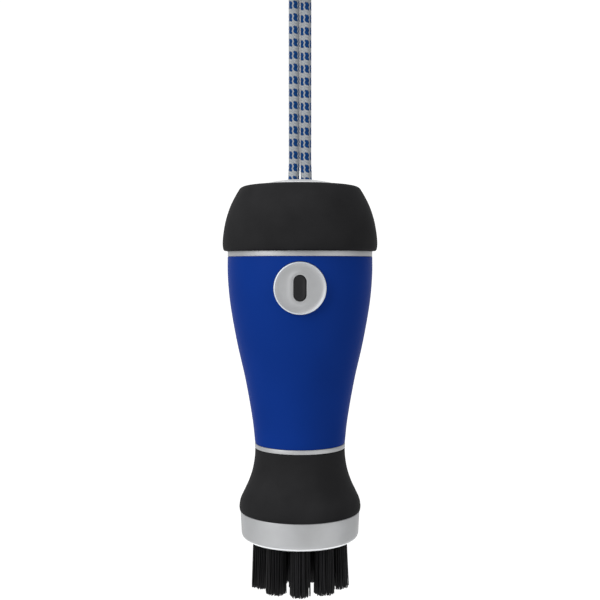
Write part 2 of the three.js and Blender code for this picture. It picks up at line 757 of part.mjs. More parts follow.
function skirt() {
  const outer = [
    [17.4, SKIRT_BOTTOM],
    [17.55, -59.4],
    [17.2, -57.4],
    [16.2, -55.2],
    [14.85, -52.3],
    [13.7, -48.8],
    [13.1, -45.3],
    [12.95, SKIRT_TOP],
  ];
  return turnedOnZ(closed([
    [15.3, SKIRT_BOTTOM],
    ...through(outer, 8),
    [9.9, SKIRT_TOP],
    [9.9, FLOOR_BOTTOM - GAP],
    [SCREW_R + GAP, FLOOR_BOTTOM - GAP],
    [SCREW_R + GAP, SKIRT_LID_BOTTOM],
    [11, SKIRT_LID_BOTTOM],
    [12.9, -52.3],
    [15.3, -57.5],
  ]));
}

function collar() {
  return turnedOnZ(closed([
    [14.7, COLLAR_BOTTOM],
    ...arc(14.95, COLLAR_BOTTOM + 2, 2, -84, 0, 6),
    [17.25, SKIRT_BOTTOM - SEAM - 0.25],
    [17.05, SKIRT_BOTTOM - SEAM],
    [BLOCK_R + GAP, SKIRT_BOTTOM - SEAM],
    [BLOCK_R + GAP, COLLAR_BOTTOM + 1],
    [14.7, COLLAR_BOTTOM + 1],
  ]));
}

// The tufts: [ring radius, share of a turn from the front, lean outwards].
function ringOfTufts(count, radius, lean) {
  return Array.from({ length: count }, (_, i) => [radius, i / count, lean]);
}

const tufts = [
  ...ringOfTufts(OUTER_TUFTS, OUTER_TUFT_RING, OUTER_TUFT_LEAN),
  ...ringOfTufts(INNER_TUFTS, INNER_TUFT_RING, 0),
];

function tuftRod(radius, [ringR, turn, lean], low, high) {
  const rod = rodZ(radius, low - TUFT_ROOT, high - TUFT_ROOT, 0, 0, 12);
  rod.rotateX(-lean).translate(0, -ringR, TUFT_ROOT);
  return rod.rotateZ(2 * Math.PI * turn);
}

function bristleBlock() {
  const block = turnedOnZ([
    [0, BLOCK_BOTTOM],
    [14.4, BLOCK_BOTTOM],
    [14.4, COLLAR_BOTTOM + 1 + GAP],
    [BLOCK_R, COLLAR_BOTTOM + 1 + GAP],
    [BLOCK_R, BLOCK_TOP],
    [STEM_R, BLOCK_TOP],
    [STEM_R, SKIRT_LID_BOTTOM - GAP],
    [SCREW_R + GAP, SKIRT_LID_BOTTOM - GAP],
    [SCREW_R + GAP, SCREW_END - 0.4],
    [0, SCREW_END - 0.4],
  ]);
  const bores = tufts.map((tuft) => tuftRod(TUFT_R + 0.2, tuft, COLLAR_BOTTOM - 2, TUFT_ROOT + GAP));
  return cut(block, ...bores);
}

function headScrew() {
  const seat = FLOOR_TOP + 1.1;
  return turnedOnZ([
    [0, SCREW_END],
    [SCREW_R - 0.5, SCREW_END],
    [SCREW_R, SCREW_END + 0.6],
    [SCREW_R, seat],
    [4.5, seat],
    [4.5, seat + 1.6],
    [3.4, seat + 2.6],
    [0, seat + 2.6],
  ], 16);
}

const lowerRing = ring(10.2, LOWER_RING_R, SKIRT_TOP + SEAM, BODY_BOTTOM - SEAM);
const washer = ring(SCREW_R + GAP, 5, FLOOR_TOP + 0.05, FLOOR_TOP + 1);
place(handle, 'lower_ring', turnedOnZ(lowerRing), 'silver');
place(handle, 'skirt', skirt(), 'black');
place(handle, 'collar', collar(), 'silver');
place(handle, 'bristle_block', bristleBlock(), 'black');
place(handle, 'head_washer', turnedOnZ(washer, 16), 'steel');
place(handle, 'head_screw', headScrew(), 'steel');
tufts.forEach((tuft, i) => {
  place(handle, `tuft_${i + 1}`, tuftRod(TUFT_R, tuft, BRISTLE_TIP, TUFT_ROOT), 'nylon');
});

export default brush;
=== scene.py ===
"""Club groove brush: the visual model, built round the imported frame.

Heights called "mm" are measured from the handle's datum, a little above the middle of the body.
"""

import itertools
import json
import math

import bmesh
import bpy
import numpy as np
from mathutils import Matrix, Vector


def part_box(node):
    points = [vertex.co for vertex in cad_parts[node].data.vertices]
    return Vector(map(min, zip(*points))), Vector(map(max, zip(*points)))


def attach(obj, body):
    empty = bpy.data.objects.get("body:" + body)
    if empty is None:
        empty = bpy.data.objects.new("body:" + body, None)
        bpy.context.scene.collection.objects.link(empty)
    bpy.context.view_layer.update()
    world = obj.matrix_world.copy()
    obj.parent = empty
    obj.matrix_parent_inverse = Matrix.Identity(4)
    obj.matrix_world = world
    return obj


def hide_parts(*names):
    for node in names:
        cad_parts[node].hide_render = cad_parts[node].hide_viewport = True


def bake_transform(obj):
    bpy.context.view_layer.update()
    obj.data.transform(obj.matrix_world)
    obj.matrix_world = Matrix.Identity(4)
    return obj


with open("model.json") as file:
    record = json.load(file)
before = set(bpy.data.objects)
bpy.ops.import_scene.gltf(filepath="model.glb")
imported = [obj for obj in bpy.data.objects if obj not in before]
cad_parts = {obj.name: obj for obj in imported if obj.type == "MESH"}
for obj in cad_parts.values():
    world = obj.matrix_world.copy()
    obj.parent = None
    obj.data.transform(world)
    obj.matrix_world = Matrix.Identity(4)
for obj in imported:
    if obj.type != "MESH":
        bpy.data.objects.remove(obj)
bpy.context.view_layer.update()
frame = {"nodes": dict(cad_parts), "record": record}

bl_info = {
    "name": "Club Groove Brush",
    "version": (1, 0, 0),
    "blender": (4, 5, 0),
    "location": "View3D > Sidebar > Brush",
    "description": "Builds a club groove brush with its cord and carabiner round a CAD frame",
    "category": "Object",
}

MM = 0.001

# ---- Sizes, in millimetres ----

BODY_BOTTOM = -41.18
BODY_TOP = 12.47
CAP_BOTTOM = 14.05
CAP_TOP = 32.78
PLATE_APEX = 34.57
RING_R = 20.75
LOWER_RING_R = 13.05
SKIRT_TOP = -42.46
SKIRT_BOTTOM = -60.6
COLLAR_BOTTOM = -68.7
# painted highlight: the collar is painted near-white below this height, where its rounded foot catches the
# light
COLLAR_HIGHLIGHT_Z = COLLAR_BOTTOM + 0.85
BLOCK_BOTTOM = -68.3
BRISTLE_TIP = -82.4
BUTTON_Z = 3.9
BEZEL_R = 7.1
BEZEL_FACE_Y = -21.0
# painted highlight: the bezel is painted a lighter colour beyond this radius, over its lip and outer chamfer
BEZEL_HIGHLIGHT_R = 6.74
BUTTON_WIDTH = 3.2
BUTTON_LENGTH = 6.8
TUFT_R = 3.05
OUTER_TUFTS = 10
OUTER_TUFT_RING = 11.1
OUTER_TUFT_LEAN = math.radians(1.6)
INNER_TUFTS = 3
INNER_TUFT_RING = 4.4
TUFT_ROOT = -64.0
TUFT_ROOT_R = 2.65  # where the filaments' roots stand
SCREW_HOLE_R = 2.7
SEAM = 0.04
HIGHLIGHT_BLEND = 0.05  # over which a painted highlight fades in

CORD_R = 1.6
CORD_COLUMNS = 24  # columns of braid cells round a strand
CORD_PITCH = 0.884  # from one yarn to the next along it
CORD_LOOSE = 0.6  # how much wider than the others its coloured columns are, 0 for none
CORD_BULK = 0.2  # how much taller than the others its coloured rows are, 0 for none
COLOURED_COLUMN = 0.5  # where the lattice's first coloured column lies
COLOURED_ROW = 0.75  # and its first coloured row
STRAND_LOW = 33.0
STRAND_PARTED = 1.8  # each strand's distance from the middle at the plate
STRAND_CLOSE = 1.65  # and further up, where the two lie side by side

ROD_R = 2.4
BEND_R = 10.5
SIDE_LENGTH = 28.0
TOP_BEND_Z = ROD_R - BEND_R
LOW_BEND_Z = TOP_BEND_Z - SIDE_LENGTH
GATE_R = 2.1
GATE_PIVOT_Z = LOW_BEND_Z + 2.6
GATE_TOP_Z = -12.3
NOSE_Z = -11.9
EYE_R = 5.1
EYE_ROD_R = 1.5
EYE_Z = LOW_BEND_Z - BEND_R - 0.7
GATE_PIN_R = 1.0
CUP_R = 5.4
CAMERA_Z = 10.2  # above the datum

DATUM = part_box("body_shell")[0][2] / MM - BODY_BOTTOM
CUP_BOTTOM_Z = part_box("cord_end_cup")[0][2] / MM
CUP_TOP_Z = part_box("cord_end_cup")[1][2] / MM
EYE_BOTTOM_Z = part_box("swivel_eye")[0][2] / MM
STRAND_TOP_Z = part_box("cord_strand_left")[1][2] / MM
HANDLE_MIDDLE = (0, 0, DATUM)
BUTTON_MIDDLE = (0, 0, DATUM + BUTTON_Z)
GATE_PIVOT = (BEND_R, 0, GATE_PIVOT_Z)

# ---- Shapes ----


def finish_mesh(name, mesh, sharp=30.0):
    """A smooth-shaded object, with its edges sharp past an angle."""
    mesh.validate()
    mesh.polygons.foreach_set("use_smooth", [True] * len(mesh.polygons))
    mesh.set_sharp_from_angle(angle=math.radians(sharp))
    obj = bpy.data.objects.new(name, mesh)
    bpy.context.scene.collection.objects.link(obj)
    return obj


def mesh_object(name, verts, faces, sharp=30.0):
    mesh = bpy.data.meshes.new(name)
    mesh.from_pydata([tuple(v) for v in verts], [], faces)
    return finish_mesh(name, mesh, sharp)


def angles(count):
    """Even steps round a full turn."""
    return [2 * math.pi * k / count for k in range(count)]


def strip(low, high, count):
    """The faces between two rings of vertices, given where each ring starts."""
    return [(low + k, low + (k + 1) % count, high + (k + 1) % count, high + k) for k in range(count)]


def lids(last, count):
    """The faces that close the first ring and the last one."""
    return [tuple(reversed(range(count))), tuple(range(last, last + count))]


def through(stations, steps):
    """Points of a centripetal Catmull-Rom curve through the stations, evenly spread between them."""
    p = [np.array(s, float) for s in stations]
    p = [2 * p[0] - p[1], *p, 2 * p[-1] - p[-2]]
    out = []
    for a, b, c, d in zip(p, p[1:], p[2:], p[3:]):
        t0, t1 = 0.0, np.linalg.norm(b - a) ** 0.5
        t2 = t1 + np.linalg.norm(c - b) ** 0.5
        t3 = t2 + np.linalg.norm(d - c) ** 0.5
        for i in range(steps):
            t = t1 + (t2 - t1) * i / steps
            ab = (t1 - t) / (t1 - t0) * a + (t - t0) / (t1 - t0) * b
            bc = (t2 - t) / (t2 - t1) * b + (t - t1) / (t2 - t1) * c
            cd = (t3 - t) / (t3 - t2) * c + (t - t2) / (t3 - t2) * d
            abc = (t2 - t) / (t2 - t0) * ab + (t - t0) / (t2 - t0) * bc
            bcd = (t3 - t) / (t3 - t1) * bc + (t - t1) / (t3 - t1) * cd
            out.append((t2 - t) / (t2 - t1) * abc + (t - t1) / (t2 - t1) * bcd)
    return [*out, p[-2]]


def rounded(corners, steps=5):
    """A closed outline from corners (x, y, radius), each corner rounded with an arc of that radius."""
    out = []
    count = len(corners)
    for i, (x, y, radius) in enumerate(corners):
        here = np.array((x, y), float)
        if radius == 0:
            out.append(here)
            continue
        before = np.array(corners[i - 1][:2], float) - here
        after = np.array(corners[(i + 1) % count][:2], float) - here
        u, v = before / np.linalg.norm(before), after / np.linalg.norm(after)
        half = math.acos(max(-1.0, min(1.0, float(u @ v)))) / 2
        reach = radius / math.tan(half)
        middle = here + (u + v) / np.linalg.norm(u + v) * radius / math.sin(half)
        start, end = here + u * reach - middle, here + v * reach - middle
        span = math.atan2(start[0] * end[1] - start[1] * end[0], start @ end)
        for k in range(steps + 1):
            turn = span * k / steps
            c, s = math.cos(turn), math.sin(turn)
            out.append(middle + np.array((c * start[0] - s * start[1], s * start[0] + c * start[1])))
    return out


def ring_profile(inner, outer, low, high, edge=0.0):
    """The section of a ring, with its two outer corners rounded."""
    return rounded([(inner, low, 0), (outer, low, edge), (outer, high, edge), (inner, high, 0)], 3)


def turned(name, profile, sides=160, axis="Z", centre=(0.0, 0.0, 0.0), sharp=30.0):
    """A solid turned from an outline of (radius, height), anticlockwise with the radius to the right."""
    verts, rings = [], []
    for r, z in profile:
        if r < 1e-6:
            rings.append([len(verts)])
            verts.append((0.0, 0.0, z))
            continue
        rings.append(list(range(len(verts), len(verts) + sides)))
        verts.extend((r * math.cos(a), r * math.sin(a), z) for a in angles(sides))
    faces = []
    for low, high in zip(rings, rings[1:] + rings[:1]):
        for k in range(sides):
            n = (k + 1) % sides
            corners = [low[k % len(low)], low[n % len(low)], high[n % len(high)], high[k % len(high)]]
            face = list(dict.fromkeys(corners))
            if len(face) > 2:
                faces.append(face)
    if axis == "Y":
        verts = [(x, z, -y) for x, y, z in verts]
    cx, cy, cz = centre
    verts = [((x + cx) * MM, (y + cy) * MM, (z + cz) * MM) for x, y, z in verts]
    return mesh_object(name, verts, faces, sharp)


def tube(name, points, radius, sides=24, closed=False, sharp=40.0):
    """A round rod of one radius along points in mm, all of them in one plane or nearly straight."""
    pts = [Vector(p) for p in points]
    count = len(pts)
    verts, faces = [], []
    side = None
    for i, p in enumerate(pts):
        ahead = pts[(i + 1) % count] if closed or i < count - 1 else p
        behind = pts[i - 1] if closed or i > 0 else p
        along = (ahead - behind).normalized()
        if side is None:
            side = along.cross(Vector((0, 1, 0)) if abs(along.y) < 0.9 else Vector((1, 0, 0))).normalized()
        side = (side - along * side.dot(along)).normalized()
        up = along.cross(side)
        verts.extend((p + radius * (math.cos(a) * side + math.sin(a) * up)) * MM for a in angles(sides))
    for i in range(count if closed else count - 1):
        faces.extend(strip(i * sides, (i + 1) % count * sides, sides))
    if not closed:
        faces.extend(lids((count - 1) * sides, sides))
    return mesh_object(name, verts, faces, sharp)


def slot_outline(width, length, count):
    """A slot with round ends, upright, as count points spread by angle from its middle."""
    r, reach = width / 2, length / 2 - width / 2
    out = []
    for a in angles(count):
        dx, dz = math.cos(a), math.sin(a)
        side = r / max(abs(dx), 1e-9)
        if abs(dz) * side <= reach:
            out.append((dx * side, dz * side))
            continue
        end = reach if dz > 0 else -reach
        along = dz * end
        far = along + math.sqrt(along * along - end * end + r * r)
        out.append((dx * far, dz * far))
    return out


def lofted(name, loops, sharp=30.0, capped=True):
    """A skin over loops of equally many points in mm, capped at its ends or else joined to itself."""
    count = len(loops[0])
    last = (len(loops) - 1) * count
    faces = []
    for start in range(0, last, count):
        faces.extend(strip(start, start + count, count))
    faces.extend(lids(last, count) if capped else strip(last, 0, count))
    mesh = bpy.data.meshes.new(name)
    mesh.from_pydata([(x * MM, y * MM, z * MM) for loop in loops for x, y, z in loop], [], faces)
    form = bmesh.new()
    form.from_mesh(mesh)
    bmesh.ops.recalc_face_normals(form, faces=form.faces)
    form.to_mesh(mesh)
    form.free()
    return finish_mesh(name, mesh, sharp)


def baked(obj):
    """The object's mesh with its modifiers applied."""
    bpy.context.view_layer.update()
    return bpy.data.meshes.new_from_object(obj.evaluated_get(bpy.context.evaluated_depsgraph_get()))


def carve(obj, tools, how="DIFFERENCE", sharp=30.0):
    """Cut the tool objects from a piece or join them to it. The tools are used up."""
    for tool in tools:
        mod = obj.modifiers.new("carve", "BOOLEAN")
        mod.operation = how
        mod.solver = "EXACT"
        mod.object = tool
        mesh = baked(obj)
        obj.modifiers.remove(mod)
        obj.data = mesh
        bpy.data.objects.remove(tool)
    obj.data.polygons.foreach_set("use_smooth", [True] * len(obj.data.polygons))
    obj.data.set_sharp_from_angle(angle=math.radians(sharp))


def block(name, low, high):
    """A plain box between two corners in mm, only ever used as a cutting tool."""
    verts = [(x * MM, y * MM, z * MM) for x, y, z in itertools.product(*zip(low, high))]
    faces = [(0, 1, 3, 2), (4, 6, 7, 5), (0, 4, 5, 1), (2, 3, 7, 6), (0, 2, 6, 4), (1, 5, 7, 3)]
    return mesh_object(name, verts, faces)


# ---- Finishes ----


def colour(text):
    """An sRGB hex colour as a linear RGBA."""
    parts = [int(text[i : i + 2], 16) / 255 for i in (0, 2, 4)]
    return (*((c / 12.92 if c <= 0.04045 else ((c + 0.055) / 1.055) ** 2.4) for c in parts), 1.0)


def node(tree, kind, links=(), **settings):
    """Add a node. Settings are its own properties, links are {input: value or output socket}."""
    made = tree.nodes.new(kind)
    for key, value in settings.items():
        setattr(made, key, value)
    for key, value in dict(links).items():
        socket = made.inputs[key]
        if isinstance(value, bpy.types.NodeSocket):
            tree.links.new(value, socket)
        else:
            socket.default_value = value
    return made


def new_material(name, **sockets):
    """A material with one Principled shader whose even values are set on its own sockets."""
    mat = bpy.data.materials.new(name)
    mat.use_nodes = True
    tree = mat.node_tree
    tree.nodes.clear()
    shader = node(tree, "ShaderNodeBsdfPrincipled")
    for key, value in sockets.items():
        shader.inputs[key.replace("_", " ")].default_value = value
    node(tree, "ShaderNodeOutputMaterial", {"Surface": shader.outputs["BSDF"]})
    return mat, tree, shader


def shades(dark, light):
    """Two shades from sRGB hex colours."""
    return colour(dark), colour(light)


def around(base, spread):
    """A darker and a lighter shade of a linear colour."""
    return tuple((*(c * share for c in base[:3]), 1.0) for share in (1 - spread, 1 + spread))


def mottle(tree, shader, coords, pair, size_mm, detail=3.0):
    """Let the colour drift between two shades over patches of a size."""
    patches = {"Vector": coords, "Scale": 1 / (size_mm * MM), "Detail": detail}
    noise = node(tree, "ShaderNodeTexNoise", patches)
    ramp = node(tree, "ShaderNodeValToRGB", {"Fac": noise.outputs["Fac"]})
    ramp.color_ramp.elements[0].position, ramp.color_ramp.elements[1].position = 0.3, 0.7
    ramp.color_ramp.elements[0].color, ramp.color_ramp.elements[1].color = pair
    tree.links.new(ramp.outputs["Color"], shader.inputs["Base Color"])
    return ramp


def grain(tree, shader, coords, size_mm, depth_mm, low, high):
    """A fine grain in the surface, that moves the roughness between two values."""
    noise = node(tree, "ShaderNodeTexNoise", {"Vector": coords, "Scale": 1 / (size_mm * MM), "Detail": 2.0})
    height = {"Height": noise.outputs["Fac"], "Distance": depth_mm * MM, "Strength": 1.0}
    bump = node(tree, "ShaderNodeBump", height)
    tree.links.new(bump.outputs["Normal"], shader.inputs["Normal"])
    rough = node(tree, "ShaderNodeMapRange", {"Value": noise.outputs["Fac"], "To Min": low, "To Max": high})
    tree.links.new(rough.outputs["Result"], shader.inputs["Roughness"])


def soft_touch(base):
    """Soft-touch elastomer moulded over the shell: near-black, matt, with the mould's spark-eroded grain."""
    mat, tree, shader = new_material("soft-touch elastomer", IOR=1.45, Specular_IOR_Level=0.02)
    coords = node(tree, "ShaderNodeTexCoord").outputs["Object"]
    mottle(tree, shader, coords, around(base, 0.12), 9.0)
    # the real grain is about 0.1 mm, drawn at 0.35 mm so that it shows
    grain(tree, shader, coords, 0.35, 0.02, 0.56, 0.7)
    return mat


def blue_lacquer(base):
    """Satin lacquer on moulded ABS: an even deep blue with a soft, slightly rippled shine."""
    mat, tree, shader = new_material("satin lacquer on ABS", IOR=1.5, Specular_IOR_Level=0.012)
    coords = node(tree, "ShaderNodeTexCoord").outputs["Object"]
    mottle(tree, shader, coords, around(base, 0.04), 14.0, 1.0)
    # orange peel of the lacquer, about 1.2 mm from crest to crest
    grain(tree, shader, coords, 1.2, 0.006, 0.4, 0.48)
    return mat


def satin_plate(name, across, pair, painted_rim=None):
    """Satin nickel plate over ABS: bright, with fine turning marks that run round the piece.

    The marks are counted along Z, or outwards from the button's axis. The last argument paints a highlight:
    a band in a lighter colour where an edge would catch the light, given as where along that line it starts
    and is full, in mm, and its colour.
    """
    mat, tree, shader = new_material(name, Metallic=0.75, Specular_IOR_Level=0.4)
    coords = node(tree, "ShaderNodeTexCoord").outputs["Object"]
    parts = node(tree, "ShaderNodeSeparateXYZ", {"Vector": coords})
    if across == "Z":
        line = parts.outputs["Z"]
    else:
        centre = (DATUM + BUTTON_Z) * MM
        raised = node(tree, "ShaderNodeMath", {0: parts.outputs["Z"], 1: centre}, operation="SUBTRACT")
        flat = node(tree, "ShaderNodeCombineXYZ", {"X": parts.outputs["X"], "Y": raised.outputs[0]})
        line = node(tree, "ShaderNodeVectorMath", {0: flat.outputs[0]}, operation="LENGTH").outputs["Value"]
    # the real marks are some 0.02 mm wide, drawn at 0.12 mm
    fine = {"W": line, "Scale": 1 / (0.12 * MM), "Detail": 2.0}
    marks = node(tree, "ShaderNodeTexNoise", fine, noise_dimensions="1D")
    height = {"Height": marks.outputs["Fac"], "Distance": 0.0015 * MM, "Strength": 0.6}
    bump = node(tree, "ShaderNodeBump", height)
    tree.links.new(bump.outputs["Normal"], shader.inputs["Normal"])
    rough = node(tree, "ShaderNodeMapRange", {"Value": marks.outputs["Fac"], "To Min": 0.5, "To Max": 0.62})
    tree.links.new(rough.outputs["Result"], shader.inputs["Roughness"])
    ramp = mottle(tree, shader, coords, pair, 6.0)
    # painted highlight: along the line the colour is mixed over to a lighter one, standing in for the light
    # an edge catches
    if painted_rim:
        start, full, shade = painted_rim
        reach = {"Value": line, "From Min": start * MM, "From Max": full * MM}
        rim = node(tree, "ShaderNodeMapRange", reach).outputs["Result"]
        tones = {0: rim, 6: ramp.outputs["Color"], 7: colour(shade)}
        both = node(tree, "ShaderNodeMix", tones, data_type="RGBA")
        tree.links.new(both.outputs[2], shader.inputs["Base Color"])
    return mat


def anodised():
    """Bead-blasted and clear-anodised aluminium: pale, even, with a fine sparkle."""
    mat, tree, shader = new_material("anodised aluminium", Metallic=1.0)
    coords = node(tree, "ShaderNodeTexCoord").outputs["Object"]
    mottle(tree, shader, coords, shades("c2c4c8", "cdcfd2"), 5.0)
    # blasting leaves pits some 0.05 mm wide, drawn at 0.15 mm
    grain(tree, shader, coords, 0.15, 0.003, 0.26, 0.36)
    return mat


def stainless(name="stainless steel", dark="9c9c9b", light="abaaa8"):
    """Drawn and tumbled stainless steel, with faint marks."""
    mat, tree, shader = new_material(name, Metallic=1.0)
    coords = node(tree, "ShaderNodeTexCoord").outputs["Object"]
    mottle(tree, shader, coords, shades(dark, light), 3.0)
    # tumbling leaves marks some 0.1 mm long, drawn at 0.25 mm
    grain(tree, shader, coords, 0.25, 0.002, 0.2, 0.34)
    return mat


def moulded(name, dark, light, low, high, size_mm=0.3, depth_mm=0.012):
    """A moulded plastic or rubber, with the tool's fine grain, about 0.1 mm, drawn coarser to show."""
    mat, tree, shader = new_material(name, IOR=1.48, Specular_IOR_Level=0.25)
    coords = node(tree, "ShaderNodeTexCoord").outputs["Object"]
    mottle(tree, shader, coords, shades(dark, light), 4.0)
    grain(tree, shader, coords, size_mm, depth_mm, low, high)
    return mat


def nylon_bristle():
    """Extruded nylon filament, trimmed: near-black with a waxy shine, each one a little lighter or darker.
    """
    mat, tree, shader = new_material("nylon filament", Roughness=0.5, IOR=1.53, Specular_IOR_Level=0.1)
    shade = node(tree, "ShaderNodeAttribute", attribute_name="shade")
    ramp = node(tree, "ShaderNodeValToRGB", {"Fac": shade.outputs["Fac"]})
    ramp.color_ramp.elements[0].color, ramp.color_ramp.elements[1].color = shades("131314", "202022")
    tree.links.new(ramp.outputs["Color"], shader.inputs["Base Color"])
    return mat


def braided_cord(fleck):
    """Polyester accessory cord, braided from grey yarns with pairs of blue ones: matt, softly furred."""
    matt = {"Roughness": 0.85, "Sheen_Weight": 0.08, "Sheen_Roughness": 0.5, "Specular_IOR_Level": 0.1}
    mat, tree, shader = new_material("braided polyester", **matt)
    coords = node(tree, "ShaderNodeTexCoord").outputs["Object"]
    # the fur of loose filaments, drawn as patches of 0.25 mm, ten times as coarse as they are
    fuzz = node(tree, "ShaderNodeTexNoise", {"Vector": coords, "Scale": 1 / (0.25 * MM), "Detail": 4.0})
    uv = node(tree, "ShaderNodeUVMap", uv_map="braid")
    parts = node(tree, "ShaderNodeSeparateXYZ", {"Vector": uv.outputs["UV"]})
    # the map counts columns round the strand and yarns along it
    known = {"column": parts.outputs["X"], "along": parts.outputs["Y"], "fuzz": fuzz.outputs["Fac"]}
    # each row is (result, operation, what it takes), the same sums as in build_strand
    for result, operation, *terms in (
        # the hand that carries the colour lies looser, so its columns are wider than the other's
        ("phase", "SUBTRACT", "column", COLOURED_COLUMN),
        ("phase", "MULTIPLY", "phase", math.pi / 2),
        ("swing", "SINE", "phase"),
        ("column", "MULTIPLY_ADD", "swing", -CORD_LOOSE, "column"),
        # the coloured yarns are bulkier than the grey ones, so their rows are taller
        ("phase", "SUBTRACT", "along", COLOURED_ROW),
        ("phase", "MULTIPLY", "phase", math.pi / 2),
        ("swell", "SINE", "phase"),
        ("along", "MULTIPLY_ADD", "swell", -CORD_BULK, "along"),
        # yarns of one hand lie along p and are numbered by m, those of the other lie along q, by n
        ("p", "MULTIPLY_ADD", "column", 0.5, "along"),
        ("half", "MULTIPLY", "column", 0.5),
        ("q", "SUBTRACT", "half", "along"),
        ("m", "ROUND", "p"),
        ("n", "ROUND", "q"),
        ("from_m", "SUBTRACT", "p", "m"),
        ("from_n", "SUBTRACT", "q", "n"),
        # a 2/2 twill: over two yarns, under two
        ("sum", "ADD", "m", "n"),
        ("stage", "FLOORED_MODULO", "sum", 4.0),
        ("over", "LESS_THAN", "stage", 1.5),
        # of every four yarns of the looser hand, two are blue
        ("row", "SUBTRACT", "m", "n"),
        ("row", "SUBTRACT", "row", "stage"),
        ("row", "MULTIPLY_ADD", "row", 0.5, 0.25),
        ("row", "FLOORED_MODULO", "row", 4.0),
        ("marked", "LESS_THAN", "row", 1.6),
        ("blue", "MULTIPLY", "over", "marked"),
        # the place across the yarn on top, from -0.5 to 0.5
        ("apart", "SUBTRACT", "from_n", "from_m"),
        ("across", "MULTIPLY_ADD", "over", "apart", "from_m"),
        # each yarn is a bundle of filaments too fine to show, drawn as five across
        ("fibres", "MULTIPLY", "across", 2 * math.pi * 5),
        ("fibres", "SINE", "fibres"),
        ("edge", "ABSOLUTE", "across"),
        ("edge", "MULTIPLY", "edge", 2.0),
        ("edge", "POWER", "edge", 4.0),
        ("tone", "MULTIPLY_ADD", "fibres", 0.1, "fuzz"),
        ("height", "MULTIPLY_ADD", "fibres", 0.3, "fuzz"),
    ):
        taken = {i: known.get(term, term) for i, term in enumerate(terms)}
        known[result] = node(tree, "ShaderNodeMath", taken, operation=operation).outputs[0]
    greys = node(tree, "ShaderNodeValToRGB", {"Fac": known["tone"]})
    blues = node(tree, "ShaderNodeValToRGB", {"Fac": known["tone"]})
    for ramp, pair in ((greys, shades("6c7074", "bcc1c6")), (blues, around(fleck, 0.45))):
        ramp.color_ramp.elements[0].color, ramp.color_ramp.elements[1].color = pair
    tones = {0: known["blue"], 6: greys.outputs["Color"], 7: blues.outputs["Color"]}
    yarn = node(tree, "ShaderNodeMix", tones, data_type="RGBA")
    shadow = node(tree, "ShaderNodeMapRange", {"Value": known["edge"], "To Min": 1.0, "To Max": 0.62})
    shaded = {0: 1.0, 6: yarn.outputs[2], 7: shadow.outputs["Result"]}
    deep = node(tree, "ShaderNodeMix", shaded, data_type="RGBA", blend_type="MULTIPLY")
    tree.links.new(deep.outputs[2], shader.inputs["Base Color"])
    relief = {"Height": known["height"], "Distance": 0.02 * MM, "Strength": 0.8}
    bump = node(tree, "ShaderNodeBump", relief)
    tree.links.new(bump.outputs["Normal"], shader.inputs["Normal"])
    return mat


FINISHES = {}


def finish_for(slot):
    """The material for one of the record's slots, made the first time it is asked for."""
    brush = bpy.context.scene.brush
    satin = shades("a4a5a6", "abacae")
    # painted highlight on the bezel's lip and chamfer, a lighter colour past a radius
    bezel_highlight = (BEZEL_HIGHLIGHT_R, BEZEL_HIGHLIGHT_R + HIGHLIGHT_BLEND, "c6cbd2")
    # painted highlight on the collar's lowest edge, near-white below a height
    collar_highlight = (DATUM + COLLAR_HIGHLIGHT_Z + HIGHLIGHT_BLEND, DATUM + COLLAR_HIGHLIGHT_Z, "f0f2f4")
    makers = {
        "anodised_alloy": anodised,
        "stainless_steel": stainless,
        "spring_steel": lambda: stainless("spring steel", "6f7072", "858688"),
        "braided_cord": lambda: braided_cord(brush.fleck_colour),
        "satin_metal": lambda: satin_plate("satin nickel plate", "Z", satin),
        "satin_bezel": lambda: satin_plate("satin nickel plate, painted rim highlight", "Y", satin, bezel_highlight),
        "satin_collar": lambda: satin_plate("satin nickel plate, painted foot highlight", "Z", satin, collar_highlight),
        # painted light: the dome is the same satin plate in a lighter colour, standing in for the light its
        # upturned face catches
        "satin_dome": lambda: satin_plate("satin nickel plate, painted lighter", "Z", shades("c8c9ca", "cfd0d1")),
        "soft_touch_black": lambda: soft_touch(brush.grip_colour),
        "blue_shell": lambda: blue_lacquer(brush.body_colour),
        "acetal": lambda: moulded("natural acetal", "d6d3c8", "e0ddd2", 0.38, 0.5),
        "button_black": lambda: moulded("black nylon", "131315", "19191a", 0.5, 0.62, 0.25, 0.02),
        "brake_rubber": lambda: moulded("nitrile rubber", "191919", "202020", 0.8, 0.9),
        "block_plastic": lambda: moulded("black polypropylene", "131314", "19191a", 0.45, 0.6),
        "bristle_nylon": nylon_bristle,
    }
    if slot not in FINISHES:
        FINISHES[slot] = makers[slot]()
    return FINISHES[slot]


def clad(obj, look):
    """Give a piece one finish."""
    obj.data.materials.clear()
    obj.data.materials.append(finish_for(look))


def hand_over(obj, body, slot, nodes, look=None):
    """Give a finished piece its material, its body and the CAD nodes that it stands for."""
    clad(obj, look or slot)
    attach(obj, body)
    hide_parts(*nodes)


# ---- Handle ----


def build_cap(edge):
    """The cap: a hollow moulding with a rounded shoulder and a seat for the cord plate."""
    wall, seat, seat_z = 18.8, 10.2, 32.05
    side = [(22.1, 14.9), (22.2, 16.2), (21.95, 19.2), (21.2, 23.1), (19.85, 27.1), (18.15, 30.4)]
    shoulder = [(17.1, 32.0), (16.6, 32.3), (15.9, 32.52), (14.2, 32.71), (11.4, CAP_TOP)]
    inside = [(8.7, seat_z), (8.7, 30.6), (14.6, 30.6), (18, 27), (19.4, 23), (19.9, 19.2), (wall, 19.2)]
    profile = [
        (wall, CAP_BOTTOM),
        *rounded([(wall, CAP_BOTTOM, 0), (21.95, CAP_BOTTOM, edge), (22.12, 15.6, 0)])[1:-1],
        *through([*side, (17.45, 31.55)], 6),
        *through(shoulder, 4),
        *rounded([(11.4, CAP_TOP, 0), (seat, CAP_TOP, 0.3), (seat, seat_z, 0)])[1:],
        *inside,
    ]
    cap = turned("cap_moulding", profile, centre=HANDLE_MIDDLE)
    hand_over(cap, "handle", "soft_touch_black", ["top_cap"])


